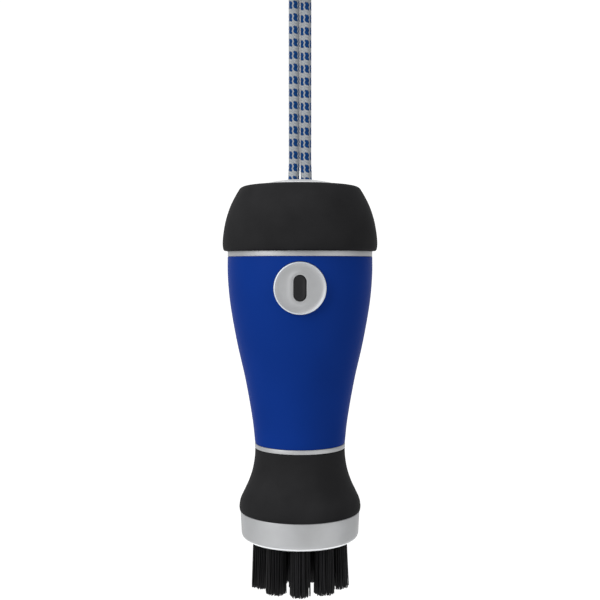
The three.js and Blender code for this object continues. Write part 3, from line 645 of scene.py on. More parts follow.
def build_plate():
    """The domed plate in the cap's middle, with the slot that the two strands run through."""
    neck = 6.9
    foot = [(neck, 28), (8.4, 28), (8.4, 32.1), (9.8, 32.1), (9.9, 32.2), (9.9, 33.0)]
    crown = through([(9.72, 33.24), (9.3, 33.46), (6.4, 34.05), (3.2, 34.44), (0, PLATE_APEX)], 5)
    plate = turned("cord_plate_dome", [*foot, *crown, (0, 31.4), (neck, 31.4)], centre=HANDLE_MIDDLE)
    bore = CORD_R + 0.3
    outline = [(z, x) for x, z in slot_outline(2 * bore, 2 * (bore + STRAND_PARTED), 64)]
    tool = lofted("slot_tool", [[(x, y, DATUM + h) for x, y in outline] for h in (30.4, 36.0)])
    carve(plate, [tool])
    edge = plate.modifiers.new("edge", "BEVEL")
    edge.width = 0.2 * MM
    edge.segments = 3
    edge.limit_method = "ANGLE"
    edge.angle_limit = math.radians(60)
    mesh = baked(plate)
    plate.modifiers.remove(edge)
    plate.data = mesh
    # its satin plate is painted lighter, painted light for its upturned face
    hand_over(plate, "handle", "satin_metal", ["cord_plate"], "satin_dome")


def build_rings(edge):
    """The thin bands above and below the blue body."""
    upper = ring_profile(18.7, RING_R, BODY_TOP + SEAM, CAP_BOTTOM - SEAM, edge)
    lower = ring_profile(10.2, LOWER_RING_R, SKIRT_TOP + SEAM, BODY_BOTTOM - SEAM, edge)
    for name, profile in (("upper_ring", upper), ("lower_ring", lower)):
        band = turned(f"{name}_band", profile, centre=HANDLE_MIDDLE)
        hand_over(band, "handle", "satin_metal", [name])


def build_body(edge):
    """The waisted body, hollow, with a flat seat and a bore for the button."""
    spigot, floor_z, underside_z, lip = 10.2, -35.9, -38.9, 18.4
    waisted = [(13.66, -34.8), (15.66, -23.1), (18.23, -11.5), (20.17, 0), (20.76, 7.5)]
    side = through([(LOWER_RING_R - 0.07, BODY_BOTTOM), *waisted, (20.78, BODY_TOP)], 10)
    foot, rim = side[0][0], side[-1][0]
    neck = [(lip, BODY_TOP), (lip, 18.6), (16.9, 18.6)]
    inside = [(18.3, 11), (18.4, 4), (17.9, -1.5), (15.7, -15.5), (14, -15.5), (11, floor_z)]
    profile = [
        (spigot, BODY_BOTTOM),
        (foot - edge, BODY_BOTTOM),
        (foot - 0.02, BODY_BOTTOM + edge),
        *side[1:-1],
        (rim - 0.01, BODY_TOP - edge),
        (rim - edge, BODY_TOP),
        *neck,
        *inside,
        (SCREW_HOLE_R, floor_z),
        (SCREW_HOLE_R, underside_z),
        (spigot, underside_z),
    ]
    body = turned("body_moulding", profile, centre=HANDLE_MIDDLE)
    seat = turned("seat_tool", ring_profile(0, BEZEL_R + 0.12, -24, -19), 96, "Y", BUTTON_MIDDLE)
    bore = turned("bore_tool", ring_profile(0, 6.1, -24, -15), 96, "Y", BUTTON_MIDDLE)
    carve(body, [seat, bore])
    hand_over(body, "handle", "blue_shell", ["body_shell"])


def build_skirt(edge):
    """The flared skirt between the waist and the collar."""
    wall, neck, boss_z = 15.3, 12.95, -45.8
    flare = [(17.5, -60.0), (17.55, -59.4), (17.2, -57.4), (16.2, -55.2), (14.85, -52.3)]
    waist = [(13.7, -48.8), (13.1, -45.3), (neck, SKIRT_TOP - edge)]
    profile = [
        (wall, SKIRT_BOTTOM),
        *rounded([(wall, SKIRT_BOTTOM, 0), (17.45, SKIRT_BOTTOM, edge), (17.5, -60.0, 0)])[1:-1],
        *through([*flare, *waist], 7),
        (neck - edge, SKIRT_TOP),
        (9.9, SKIRT_TOP),
        (9.9, -39.2),
        (SCREW_HOLE_R, -39.2),
        (SCREW_HOLE_R, boss_z),
        (11, boss_z),
        (12.9, -52.3),
        (wall, -57.5),
    ]
    skirt = turned("skirt_moulding", profile, centre=HANDLE_MIDDLE)
    hand_over(skirt, "handle", "soft_touch_black", ["skirt"])


def build_collar(edge):
    """The collar round the block: a plain band with a rounded foot, whose lowest edge has a painted
    highlight.
    """
    top, wall, lip, bend = SKIRT_BOTTOM - SEAM, 15.7, 14.7, 2
    turns = [math.radians(a) for a in range(6, 91, 7)]
    fillet = [(14.95 + bend * math.sin(a), COLLAR_BOTTOM + bend - bend * math.cos(a)) for a in turns]
    profile = [
        (lip, COLLAR_BOTTOM + 0.25),
        (14.85, COLLAR_BOTTOM + 0.02),
        *fillet,
        (17.0, -65.5),
        *rounded([(17.0, -65.5, 0), (17.25, top, edge), (wall, top, 0)])[1:-1],
        (wall, top),
        (wall, COLLAR_BOTTOM + 1),
        (lip, COLLAR_BOTTOM + 1),
    ]
    collar = turned("collar_band", profile, sides=192, centre=HANDLE_MIDDLE)
    hand_over(collar, "handle", "satin_metal", ["collar"], "satin_collar")


# ---- Button ----


def build_bezel():
    """The dish round the button: a rim with a painted highlight, a shallow hollow and a low boss with the
    button's slot.
    """
    count, slip, bore, hollow, neck = 144, 0.24, 4.8, 5.6, 5.8
    inner = slot_outline(BUTTON_WIDTH + slip, BUTTON_LENGTH + slip, count)
    swell = slot_outline(BUTTON_WIDTH + slip + 0.5, BUTTON_LENGTH + slip + 0.5, count)
    boss = slot_outline(BUTTON_WIDTH + 3.0, BUTTON_LENGTH + 2.4, count)

    def mixed(a, b, share):
        return [(ax + (bx - ax) * share, az + (bz - az) * share) for (ax, az), (bx, bz) in zip(a, b)]

    def ring(radius):
        return [(math.cos(a) * radius, math.sin(a) * radius) for a in angles(count)]

    # (outline, depth), from the bore's far end round over the face to the neck's far end
    loops = [
        (ring(bore), -15.7),
        (ring(bore), -19.4),
        (mixed(inner, ring(bore), 0.5), -19.4),
        (inner, -19.4),
        (inner, -20.82),
        (mixed(inner, swell, 0.3), -20.93),
        (swell, -20.97),
        (mixed(swell, boss, 0.4), -20.96),
        (mixed(swell, boss, 0.75), -20.92),
        (boss, -20.85),
        (mixed(boss, ring(hollow), 0.3), -20.78),
        (mixed(boss, ring(hollow), 0.65), -20.73),
        (ring(hollow), -20.72),
        (ring(6.1), -20.76),
        (ring(6.45), -20.84),
        (ring(6.66), -20.94),
        (ring(6.76), BEZEL_FACE_Y),
        (ring(6.84), BEZEL_FACE_Y),
        (ring(7.04), -20.86),
        (ring(BEZEL_R), -20.7),
        (ring(BEZEL_R), -19.3),
        (ring(neck), -19.3),
        (ring(neck), -15.7),
    ]
    points = [[(x, y, DATUM + BUTTON_Z + z) for x, z in outline] for outline, y in loops]
    bezel = lofted("bezel_dish", points, 40.0, capped=False)
    hand_over(bezel, "handle", "satin_metal", ["button_bezel"], "satin_bezel")


def build_button():
    """The pill: a rounded edge, a shallow thumb hollow and its flange and stem behind."""
    flange = [(1.4, 1.2, -18.3), (1.4, 1.2, -19.1)]
    face = [(-0.6, -0.6, -21.15), (-1.0, -1.2, -21.08), (-1.8, -2.6, -20.98), (-2.6, -4.6, -20.95)]
    # each row is how much wider and longer than the pill it is, and its depth
    rows = [*flange, (0, 0, -19.1), (0, 0, -20.9), (-0.1, -0.1, -21.06), (-0.3, -0.3, -21.15), *face]
    loops = []
    for wider, longer, y in rows:
        outline = slot_outline(BUTTON_WIDTH + wider, BUTTON_LENGTH + longer, 96)
        loops.append([(x, y, DATUM + BUTTON_Z + z) for x, z in outline])
    pill = lofted("button_pill", loops, 35.0)
    shank = [(0, -18.5), (1.5, -18.5), (1.5, -15.4), (1.4, -15.3), (0, -15.3)]
    stem = turned("stem_tool", shank, 32, "Y", BUTTON_MIDDLE)
    carve(pill, [stem], "UNION", 35.0)
    hand_over(pill, "button", "button_black", ["release_button"])


# ---- Bristles ----


def tuft_places():
    """Each tuft as (its root's middle, the way it points), in mm."""
    outer = [(OUTER_TUFT_RING, i / OUTER_TUFTS, OUTER_TUFT_LEAN) for i in range(OUTER_TUFTS)]
    inner = [(INNER_TUFT_RING, i / INNER_TUFTS, 0.0) for i in range(INNER_TUFTS)]
    places = []
    for ring, turn, lean in [*outer, *inner]:
        a = 2 * math.pi * turn
        out = Vector((math.sin(a), -math.cos(a), 0))
        way = Vector((0, 0, -1)) * math.cos(lean) + out * math.sin(lean)
        places.append((out * ring + Vector((0, 0, DATUM + TUFT_ROOT)), way))
    return places


def build_block():
    """The block that holds the tufts, with a round bore for each."""
    wide, ledge, ledge_z, shank = 14.4, 15.4, COLLAR_BOTTOM + 1.3, 6
    face = [(0, BLOCK_BOTTOM), (wide, BLOCK_BOTTOM), (wide, ledge_z)]
    back = [(ledge, ledge_z), (ledge, -61), (shank, -61), (shank, -46.1)]
    screw_hole = [(SCREW_HOLE_R, -46.1), (SCREW_HOLE_R, -62), (0, -62)]
    base = turned("bristle_base", [*face, *back, *screw_hole], 96, centre=HANDLE_MIDDLE)
    tools = []
    for i, (root, way) in enumerate(tuft_places()):
        tools.append(tube(f"bore_{i}", [root - way * 0.3, root + way * 8], TUFT_R + 0.12, 40))
    carve(base, tools)
    hand_over(base, "handle", "block_plastic", ["bristle_block"])


def bristle_tree(material):
    """Geometry Nodes: filaments spread over each root disc, splayed, uneven in length and slightly bent."""
    maths, vector, random = "ShaderNodeMath", "ShaderNodeVectorMath", "FunctionNodeRandomValue"
    tree = bpy.data.node_groups.new("bristles", "GeometryNodeTree")
    face = tree.interface
    face.new_socket("Geometry", in_out="INPUT", socket_type="NodeSocketGeometry")
    for name in ("Filament Radius", "Spacing", "Length", "Uneven", "Splay"):
        face.new_socket(name, in_out="INPUT", socket_type="NodeSocketFloat").min_value = 0.0
    face.new_socket("Seed", in_out="INPUT", socket_type="NodeSocketInt")
    face.new_socket("Geometry", in_out="OUTPUT", socket_type="NodeSocketGeometry")
    given = node(tree, "NodeGroupInput").outputs

    # the roots, evenly strewn over the discs
    discs = {"Mesh": given["Geometry"], "Distance Min": given["Spacing"], "Density Max": 2.0e7}
    discs["Seed"] = given["Seed"]
    spread = node(tree, "GeometryNodeDistributePointsOnFaces", discs, distribute_method="POISSON")
    centre = node(tree, "GeometryNodeInputNamedAttribute", {"Name": "middle"}, data_type="FLOAT_VECTOR")
    way = node(tree, "GeometryNodeInputNamedAttribute", {"Name": "way"}, data_type="FLOAT_VECTOR")
    place = node(tree, "GeometryNodeInputPosition")

    # each filament's aim: the tuft's own, splayed by its distance from the middle, with a little wander
    off = node(tree, vector, {0: place.outputs[0], 1: centre.outputs["Attribute"]}, operation="SUBTRACT")
    splay = node(tree, vector, {0: off.outputs[0], "Scale": given["Splay"]}, operation="SCALE")
    jitter = {"Min": (-0.008, -0.008, 0.0), "Max": (0.008, 0.008, 0.0), "Seed": 3}
    wander = node(tree, random, jitter, data_type="FLOAT_VECTOR")
    leaning = node(tree, vector, {0: way.outputs["Attribute"], 1: splay.outputs[0]}, operation="ADD")
    aim = node(tree, vector, {0: leaning.outputs[0], 1: wander.outputs[0]}, operation="ADD")
    roll = node(tree, random, {"Min": 0.0, "Max": 6.283, "Seed": 5}, data_type="FLOAT")
    spin = node(tree, "ShaderNodeCombineXYZ", {"Z": roll.outputs[1]})
    turn = node(tree, "FunctionNodeEulerToRotation", {0: spin.outputs[0]})
    aimed = {"Vector": aim.outputs[0], "Rotation": turn.outputs[0]}
    facing = node(tree, "FunctionNodeAlignRotationToVector", aimed, axis="Z")

    # one filament: root at the origin, pointing along +Z, bent a little to one side
    sizes = {"Vertices": 5, "Side Segments": 3, "Radius": given["Filament Radius"], "Depth": given["Length"]}
    rod = node(tree, "GeometryNodeMeshCylinder", sizes)
    spot = node(tree, "ShaderNodeSeparateXYZ", {"Vector": place.outputs[0]})
    half = node(tree, maths, {0: given["Length"], 1: 0.5}, operation="MULTIPLY")
    up = node(tree, maths, {0: spot.outputs["Z"], 1: half.outputs[0]}, operation="ADD")
    share = node(tree, maths, {0: up.outputs[0], 1: given["Length"]}, operation="DIVIDE")
    squared = node(tree, maths, {0: share.outputs[0], 1: share.outputs[0]}, operation="MULTIPLY")
    bend = node(tree, maths, {0: squared.outputs[0], 1: 0.14 * MM}, operation="MULTIPLY")
    shift = node(tree, "ShaderNodeCombineXYZ", {"X": bend.outputs[0], "Z": half.outputs[0]})
    bent = {"Geometry": rod.outputs["Mesh"], "Offset": shift.outputs[0]}
    rod = node(tree, "GeometryNodeSetPosition", bent)

    # its length: uneven, and a trimmed tuft's outermost filaments stand a little shorter
    longer = node(tree, random, {"Min": -1.0, "Max": 1.0, "Seed": 11}, data_type="FLOAT")
    reach = node(tree, vector, {0: off.outputs[0]}, operation="LENGTH")
    rim = node(tree, maths, {0: reach.outputs["Value"], 1: TUFT_R * MM}, operation="DIVIDE")
    rim = node(tree, maths, {0: rim.outputs[0], 1: 6.0}, operation="POWER")
    short = node(tree, maths, {0: rim.outputs[0], 1: 0.05}, operation="MULTIPLY")
    trimmed = node(tree, maths, {0: 1.0, 1: short.outputs[0]}, operation="SUBTRACT")
    uneven = node(tree, maths, {0: longer.outputs[1], 1: given["Uneven"]}, operation="MULTIPLY")
    stretch = node(tree, maths, {0: uneven.outputs[0], 1: trimmed.outputs[0]}, operation="ADD")
    size = node(tree, "ShaderNodeCombineXYZ", {"X": 1.0, "Y": 1.0, "Z": stretch.outputs[0]})

    planted = {"Points": spread.outputs["Points"], "Instance": rod.outputs[0]}
    planted.update({"Rotation": facing.outputs[0], "Scale": size.outputs[0]})
    copies = node(tree, "GeometryNodeInstanceOnPoints", planted)
    tone = node(tree, random, {"Min": 0.0, "Max": 1.0, "Seed": 17}, data_type="FLOAT")
    shade = {"Geometry": copies.outputs["Instances"], "Name": "shade", "Value": tone.outputs[1]}
    toned = node(tree, "GeometryNodeStoreNamedAttribute", shade, data_type="FLOAT", domain="INSTANCE")
    real = node(tree, "GeometryNodeRealizeInstances", {"Geometry": toned.outputs[0]})
    smooth = node(tree, "GeometryNodeSetShadeSmooth", {"Geometry": real.outputs[0]})
    done = node(tree, "GeometryNodeSetMaterial", {"Geometry": smooth.outputs[0], "Material": material})
    node(tree, "NodeGroupOutput", {"Geometry": done.outputs[0]})
    return tree


def build_bristles(settings):
    """All the filaments, grown from a flat disc at each tuft's root."""
    verts, faces, middles, ways = [], [], [], []
    sides = 32
    for root, way in tuft_places():
        u = way.orthogonal().normalized()
        v = way.cross(u)
        start = len(verts)
        verts.extend((root + TUFT_ROOT_R * (math.cos(a) * u + math.sin(a) * v)) * MM for a in angles(sides))
        faces.append(tuple(range(start, start + sides)))
        middles.append(root * MM)
        ways.append(way)
    seedbed = mesh_object("seedbed", verts, faces)
    for name, values in (("middle", middles), ("way", ways)):
        attribute = seedbed.data.attributes.new(name, "FLOAT_VECTOR", "FACE")
        attribute.data.foreach_set("vector", [c for value in values for c in value])
    tree = bristle_tree(finish_for("bristle_nylon"))
    mod = seedbed.modifiers.new("bristles", "NODES")
    mod.node_group = tree
    inputs = {
        "Filament Radius": settings.filament / 2,
        "Spacing": settings.filament * 1.02,
        "Length": (TUFT_ROOT - BRISTLE_TIP) * MM,
        "Uneven": 0.012,
        "Splay": 4.5,
        "Seed": 4,
    }
    for item in tree.interface.items_tree:
        if item.in_out == "INPUT" and item.name in inputs:
            mod[item.identifier] = inputs[item.name]
    bristles = bpy.data.objects.new("bristles", baked(seedbed))
    bpy.data.objects.remove(seedbed)
    bpy.context.scene.collection.objects.link(bristles)
    tufts = [f"tuft_{i + 1}" for i in range(OUTER_TUFTS + INNER_TUFTS)]
    hand_over(bristles, "handle", "bristle_nylon", tufts)


# ---- Cord ----

# the strand's route, from inside the plate to inside the cup: (distance from the middle, height)
STRAND_ROUTE = [
    (STRAND_PARTED, DATUM + STRAND_LOW),
    (STRAND_PARTED, DATUM + PLATE_APEX + 0.6),
    (STRAND_CLOSE, DATUM + PLATE_APEX + 5),
    (STRAND_CLOSE, DATUM + PLATE_APEX + 12),
    (STRAND_CLOSE, DATUM + PLATE_APEX + 30),
    (STRAND_CLOSE, STRAND_TOP_Z),
]


def build_strand(name, side, turn, start, settings, cad_node):
    """One strand as a tube whose surface carries the braid's yarns, with a map that counts them.

    Turn is how far it is rolled, in turns, and start how many yarns its pattern is shifted along it.
    """
    route = np.array(through(STRAND_ROUTE, 40))
    walked = np.concatenate([[0], np.cumsum(np.linalg.norm(np.diff(route, axis=0), axis=1))])
    length = float(walked[-1])
    per_column, per_cell = 4, 7
    count = CORD_COLUMNS * per_column
    rings = int(length / CORD_PITCH * per_cell)
    along = np.linspace(0, length, rings + 1)
    x = np.interp(along, walked, route[:, 0]) * side
    z = np.interp(along, walked, route[:, 1])
    cell = (length - along) / CORD_PITCH + start
    column, row = np.meshgrid(np.arange(count) / per_column, cell)
    angle = 2 * math.pi * (column / CORD_COLUMNS + turn)
    # the lattice, worked out as in braided_cord
    column = column - CORD_LOOSE * np.sin(np.pi / 2 * (column - COLOURED_COLUMN))
    row = row - CORD_BULK * np.sin(np.pi / 2 * (row - COLOURED_ROW))
    p, q = column / 2 + row, column / 2 - row
    m, n = np.round(p), np.round(q)
    stage = np.mod(m + n, 4)
    over = stage < 1.5
    across = np.where(over, q - n, p - m)
    # how far along its float, of two cells, the yarn on top is
    gone = np.where(over, p - m + np.mod(stage, 2), n - q + np.mod(stage + 1, 2)) / 2 + 0.25
    relief = np.sqrt(np.clip(1 - (1.8 * across) ** 2, 0, 1)) * np.clip(4 * gone * (1 - gone), 0, 1) ** 0.4
    sunk, proud = 0.13, 0.15  # the gaps' depth under the even radius, the yarns' height over the gaps
    radius = settings.cord / 2 / MM - sunk + proud * relief
    height = np.broadcast_to(z[:, None], angle.shape)
    verts = np.stack([x[:, None] + radius * np.sin(angle), -radius * np.cos(angle), height], -1)
    faces = []
    for i in range(rings):
        faces.extend(strip(i * count, (i + 1) * count, count))
    faces.extend(lids(rings * count, count))
    strand = mesh_object(name, verts.reshape(-1, 3) * MM, faces, 60.0)
    corner = np.zeros((len(strand.data.loops), 2), np.float32)
    for face in strand.data.polygons:
        wide = face.index < rings * count
        ks = [strand.data.loops[i].vertex_index % count for i in face.loop_indices]
        for i, k in zip(face.loop_indices, ks):
            ring = strand.data.loops[i].vertex_index // count
            wrapped = wide and k == 0 and count - 1 in ks
            corner[i] = ((count if wrapped else k) / per_column, cell[ring])
    strand.data.uv_layers.new(name="braid").data.foreach_set("uv", corner.ravel())
    clad(strand, "braided_cord")
    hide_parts(cad_node)
    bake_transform(strand)


def build_cup():
    """The cup on the cord's end and the clamp in it, which is returned with it."""
    mouth, neck, low, high = CUP_R - 1.1, 1.4, CUP_BOTTOM_Z, CUP_TOP_Z
    outside = [(mouth, low, 0.25), (CUP_R, low, 0.35), (CUP_R, high, 2.4)]
    inside = [(neck, high, 0), (neck, high - 2, 0), (mouth, high - 2, 0)]
    cup = turned("cord_cup", rounded([*outside, *inside], 10), 96)
    groove = ring_profile(CUP_R - 0.35, CUP_R + 1, CUP_BOTTOM_Z + 2.2, CUP_BOTTOM_Z + 2.9)
    carve(cup, [turned("groove_tool", groove, 96)])
    hand_over(cup, "cord_end", "anodised_alloy", ["cord_end_cup"])
    bore, clamp_r = CORD_R + 0.2, 4.1
    low, high = (corner[2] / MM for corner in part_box("cord_clamp"))
    profile = rounded([(0, low, 0), (clamp_r, low, 0.3), (clamp_r, high, 0), (0, high, 0)])
    insert = turned("clamp_insert", profile, 72)
    outline = [(z, x) for x, z in slot_outline(2 * bore, 2 * (STRAND_CLOSE + bore), 64)]
    carve(insert, [lofted("slot_tool", [[(x, y, h) for x, y in outline] for h in (low - 1, high + 1)])])
    hand_over(insert, "cord_end", "button_black", ["cord_clamp"])
    return [cup, insert]


# ---- Carabiner and swivel ----


def build_carabiner():
    """The carabiner's rod, bent to an oval, with the tongue for the gate and its nose."""

    def bend(z, start, stop, steps=40):
        turns = [start + (stop - start) * k / steps for k in range(steps + 1)]
        return [(BEND_R * math.cos(a), 0.0, z + BEND_R * math.sin(a)) for a in turns]

    nose = [(BEND_R, 0.0, NOSE_Z + 0.3), (BEND_R, 0.0, NOSE_Z)]
    loop = [*bend(LOW_BEND_Z, 0.0, -math.pi), *bend(TOP_BEND_Z, math.pi, 0.0), *nose]
    rod = tube("carabiner_rod", loop, ROD_R, 32)
    # the nose ends in half a round, which the gate's notch shuts on
    lip = tube("lip", [(BEND_R, 0, NOSE_Z - 2), (BEND_R, 0, NOSE_Z + 0.5)], ROD_R, 32)
    carve(lip, [block("lip_half", (BEND_R - 4, -3, NOSE_Z - 3), (BEND_R + 0.7, 3, NOSE_Z + 1))])
    knuckle_r, half = 1.9, 0.8
    knuckle = turned("knuckle", ring_profile(0, knuckle_r, -half, half), 40, "Y", GATE_PIVOT)
    low, high = (BEND_R - knuckle_r, -half, LOW_BEND_Z - 0.6), (BEND_R + knuckle_r, half, GATE_PIVOT_Z)
    carve(rod, [block("tongue", low, high), knuckle, lip], "UNION")
    pin = turned("pin_tool", ring_profile(0, GATE_PIN_R, -2, 2), 32, "Y", GATE_PIVOT)
    carve(rod, [pin], sharp=35.0)
    hand_over(rod, "carabiner", "anodised_alloy", ["carabiner_frame"])


def build_gate():
    """The gate: a rod slotted over the tongue, notched at its end, bored for its spring."""
    foot, top = GATE_PIVOT_Z, GATE_TOP_Z
    profile = rounded([(0, foot, 0), (GATE_R, foot, 0), (GATE_R, top, 0.4), (0, top, 0)], 4)
    rod = turned("gate_rod", profile, 32, centre=(BEND_R, 0, 0))
    heel = turned("heel", ring_profile(0, GATE_R, -GATE_R, GATE_R, 0.3), 40, "Y", GATE_PIVOT)
    carve(rod, [heel], "UNION")
    slot = block("slot", (BEND_R - 3, -1.1, foot - 3), (BEND_R + 3, 1.1, foot + 2.3))
    notch = block("notch", (BEND_R + 0.3, -3, top - 2), (BEND_R + 3, 3, top + 1))
    bore = tube("bore", [(BEND_R, 0, foot + 1.8), (BEND_R, 0, foot + 10.3)], 1.2, 24)
    pin = turned("pin_tool", ring_profile(0, GATE_PIN_R, -3, 3), 32, "Y", GATE_PIVOT)
    carve(rod, [slot, notch, bore, pin], sharp=35.0)
    hand_over(rod, "gate", "anodised_alloy", ["carabiner_gate"])


def build_eye():
    """The swivel's eye: a ring on a short boss, bored for its pin."""
    circle = [(0.0, EYE_R * math.cos(a), EYE_Z + EYE_R * math.sin(a)) for a in angles(96)]
    loop = tube("eye_loop", circle, EYE_ROD_R, 28, closed=True)
    low, top, boss_r = EYE_BOTTOM_Z, EYE_BOTTOM_Z + 3.4, 3.2
    cone = [(0, low, 0), (boss_r, low, 0.3), (boss_r, low + 1.6, 0.3), (1.6, top, 0), (0, top, 0)]
    carve(loop, [turned("eye_boss", rounded(cone, 4), 48)], "UNION")
    pin = tube("pin_tool", [(0, 0, low - 1), (0, 0, low + 2.6)], 1.3, 24)
    carve(loop, [pin], sharp=35.0)
    hand_over(loop, "swivel", "stainless_steel", ["swivel_eye"])


# ---- Stage ----


def camera(settings):
    """The camera stands about level with the top of the body, in front of it, tipped a little down."""
    data = bpy.data.cameras.new("camera")
    data.lens = settings.lens
    data.sensor_width = 36.0
    data.clip_start, data.clip_end = 0.01, 20.0
    view = bpy.data.objects.new("camera", data)
    view.location = (0.0, -settings.distance, (DATUM + CAMERA_Z) * MM)
    view.rotation_euler = (math.pi / 2 - settings.tip, 0.0, 0.0)
    bpy.context.scene.collection.objects.link(view)
    bpy.context.scene.camera = view


def area_light(name, place, target, size, power):
    data = bpy.data.lights.new(name, "AREA")
    data.shape = "RECTANGLE"
    data.size, data.size_y = size
    data.energy = power
    lamp = bpy.data.objects.new(name, data)
    lamp.location = place
    lamp.rotation_euler = (Vector(target) - Vector(place)).to_track_quat("-Z", "Y").to_euler()
    bpy.context.scene.collection.objects.link(lamp)


def sweep():
    """A seamless pale floor that curves up into the background, well below and behind the brush."""
    floor_z, back_y, bend, half_width = -0.75, 2.2, 0.6, 3.0
    turns = [math.radians(5 * k) for k in range(19)]
    curve = [(back_y - bend + bend * math.sin(a), floor_z + bend - bend * math.cos(a)) for a in turns]
    line = [(-2.5, floor_z), *curve, (back_y, 2.5)]
    verts = [(x, y, z) for x in (-half_width, half_width) for y, z in line]
    count = len(line)
    faces = [(k, k + 1, count + k + 1, count + k) for k in range(count - 1)]
    floor = mesh_object("sweep", verts, faces)
    lit = {"Base_Color": colour("f4f4f4"), "Emission_Color": colour("ffffff"), "Emission_Strength": 0.55}
    floor.data.materials.append(new_material("white paper", Roughness=0.9, **lit)[0])
    floor.visible_diffuse = False


# ---- The add-on ----


class BrushSettings(bpy.types.PropertyGroup):
    filament: bpy.props.FloatProperty(
        name="Filament", description="Thickness of one bristle", default=0.3 * MM, unit="LENGTH", precision=5
    )
    cord: bpy.props.FloatProperty(
        name="Cord", description="Thickness of the cord", default=2 * CORD_R * MM, unit="LENGTH", precision=5
    )
    edge: bpy.props.FloatProperty(
        name="Edge", description="Rounding of the moulded edges, in mm", default=0.3, min=0.05, max=0.6
    )
    body_colour: bpy.props.FloatVectorProperty(
        name="Body", description="Colour of its lacquer", default=colour("0e307d")[:3], subtype="COLOR"
    )
    grip_colour: bpy.props.FloatVectorProperty(
        name="Grip", description="Colour of cap and skirt", default=colour("242425")[:3], subtype="COLOR"
    )
    fleck_colour: bpy.props.FloatVectorProperty(
        name="Flecks", description="Colour of the flecks", default=colour("00366d")[:3], subtype="COLOR"
    )


class StageSettings(bpy.types.PropertyGroup):
    distance: bpy.props.FloatProperty(
        name="Distance", description="From the camera to the brush's axis", default=0.2822, unit="LENGTH"
    )
    lens: bpy.props.FloatProperty(name="Lens", description="Focal length in mm", default=58.8)
    tip: bpy.props.FloatProperty(
        name="Tip", description="How far the camera looks down", default=0.0361, subtype="ANGLE"
    )


class BRUSH_OT_stage(bpy.types.Operator):
    """Add the camera, the lights and the pale floor"""

    bl_idname = "brush.stage"
    bl_label = "Stage"

    def execute(self, context):
        camera(context.scene.brush_stage)
        context.scene.view_settings.view_transform = "Standard"
        world = bpy.data.worlds.new("studio")
        context.scene.world = world
        world.use_nodes = True
        sky = world.node_tree.nodes["Background"].inputs
        sky["Color"].default_value = colour("ffffff")
        sky["Strength"].default_value = 0.42
        middle = (0.0, 0.0, DATUM * MM)
        area_light("key", (-0.9, -0.7, 0.35), middle, (0.9, 1.2), 15.0)
        area_light("fill", (0.9, -0.7, -0.1), middle, (0.8, 1.2), 3.8)
        area_light("top", (0.0, -0.1, 0.9), middle, (1.2, 1.0), 6.0)
        sweep()
        return {"FINISHED"}


class BRUSH_OT_handle(bpy.types.Operator):
    """Build the cap, the cord plate, the rings and the blue body"""

    bl_idname = "brush.handle"
    bl_label = "Handle"

    def execute(self, context):
        edge = context.scene.brush.edge
        build_cap(2.2 * edge)
        build_plate()
        build_rings(0.4 * edge)
        build_body(0.5 * edge)
        return {"FINISHED"}


class BRUSH_OT_button(bpy.types.Operator):
    """Build the bezel and the push button"""

    bl_idname = "brush.button"
    bl_label = "Button"

    def execute(self, context):
        build_bezel()
        build_button()
        return {"FINISHED"}


class BRUSH_OT_head(bpy.types.Operator):
    """Build the skirt, the collar and the block that holds the tufts"""

    bl_idname = "brush.head"
    bl_label = "Head"

    def execute(self, context):
        edge = context.scene.brush.edge
        build_skirt(edge)
        build_collar(0.8 * edge)
        build_block()
        return {"FINISHED"}


class BRUSH_OT_bristles(bpy.types.Operator):
    """Grow the bristles"""

    bl_idname = "brush.bristles"
    bl_label = "Bristles"

    def execute(self, context):
        build_bristles(context.scene.brush)
        return {"FINISHED"}


class BRUSH_OT_carabiner(bpy.types.Operator):
    """Build the carabiner, its gate and the swivel eye"""

    bl_idname = "brush.carabiner"
    bl_label = "Carabiner"

    def execute(self, context):
        build_carabiner()
        build_gate()
        build_eye()
        return {"FINISHED"}


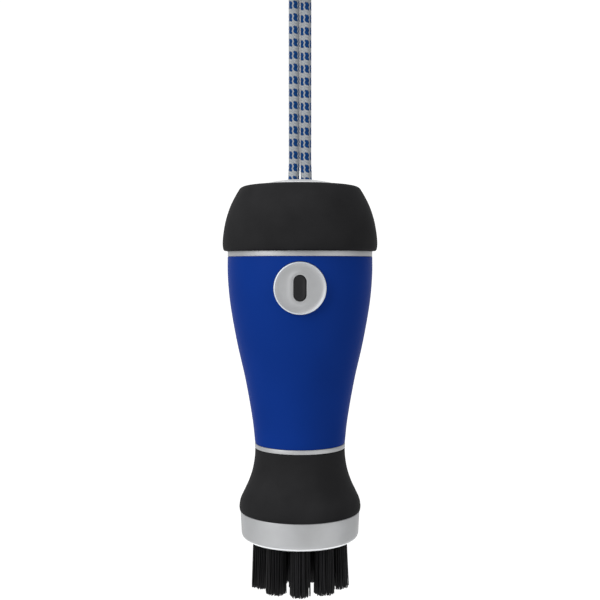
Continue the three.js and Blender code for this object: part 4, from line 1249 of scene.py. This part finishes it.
class BRUSH_OT_cord(bpy.types.Operator):
    """Build the two strands of the cord and the cup on its end"""

    bl_idname = "brush.cord"
    bl_label = "Cord"

    def execute(self, context):
        settings = context.scene.brush
        fittings = build_cup()
        for hand, side, turn, start in (("left", -1, 0.0231, -0.46), ("right", 1, 0.0158, -0.9)):
            build_strand(f"cord_{hand}", side, turn, start, settings, f"cord_strand_{hand}")
        return {"FINISHED"}


class BRUSH_OT_inside(bpy.types.Operator):
    """Give the pieces inside the handle, and the pins, their finishes"""

    bl_idname = "brush.inside"
    bl_label = "Inside"

    def execute(self, context):
        slots = {part["node"]: part["material_slot"] for part in frame["record"]["subparts"]}
        for name, obj in frame["nodes"].items():
            if not obj.hide_render:
                clad(obj, slots[name])
        return {"FINISHED"}


class BRUSH_PT_panel(bpy.types.Panel):
    """The brush's sizes and its building steps"""

    bl_idname = "BRUSH_PT_panel"
    bl_label = "Groove brush"
    bl_space_type = "VIEW_3D"
    bl_region_type = "UI"
    bl_category = "Brush"

    def draw(self, context):
        for settings in (context.scene.brush, context.scene.brush_stage):
            for name in settings.__annotations__:
                self.layout.prop(settings, name)
        for operator in STEPS:
            self.layout.operator(operator.bl_idname)


STEPS = (
    BRUSH_OT_stage,
    BRUSH_OT_handle,
    BRUSH_OT_button,
    BRUSH_OT_head,
    BRUSH_OT_bristles,
    BRUSH_OT_carabiner,
    BRUSH_OT_cord,
    BRUSH_OT_inside,
)
CLASSES = (BrushSettings, StageSettings, *STEPS, BRUSH_PT_panel)


def register():
    for cls in CLASSES:
        bpy.utils.register_class(cls)
    bpy.types.Scene.brush = bpy.props.PointerProperty(type=BrushSettings)
    bpy.types.Scene.brush_stage = bpy.props.PointerProperty(type=StageSettings)


def unregister():
    del bpy.types.Scene.brush_stage
    del bpy.types.Scene.brush
    for cls in reversed(CLASSES):
        bpy.utils.unregister_class(cls)


def main():
    register()
    bpy.ops.brush.stage()
    bpy.ops.brush.handle()
    bpy.ops.brush.button()
    bpy.ops.brush.head()
    bpy.ops.brush.bristles()
    bpy.ops.brush.carabiner()
    bpy.ops.brush.cord()
    bpy.ops.brush.inside()


if __name__ == "__main__":
    main()
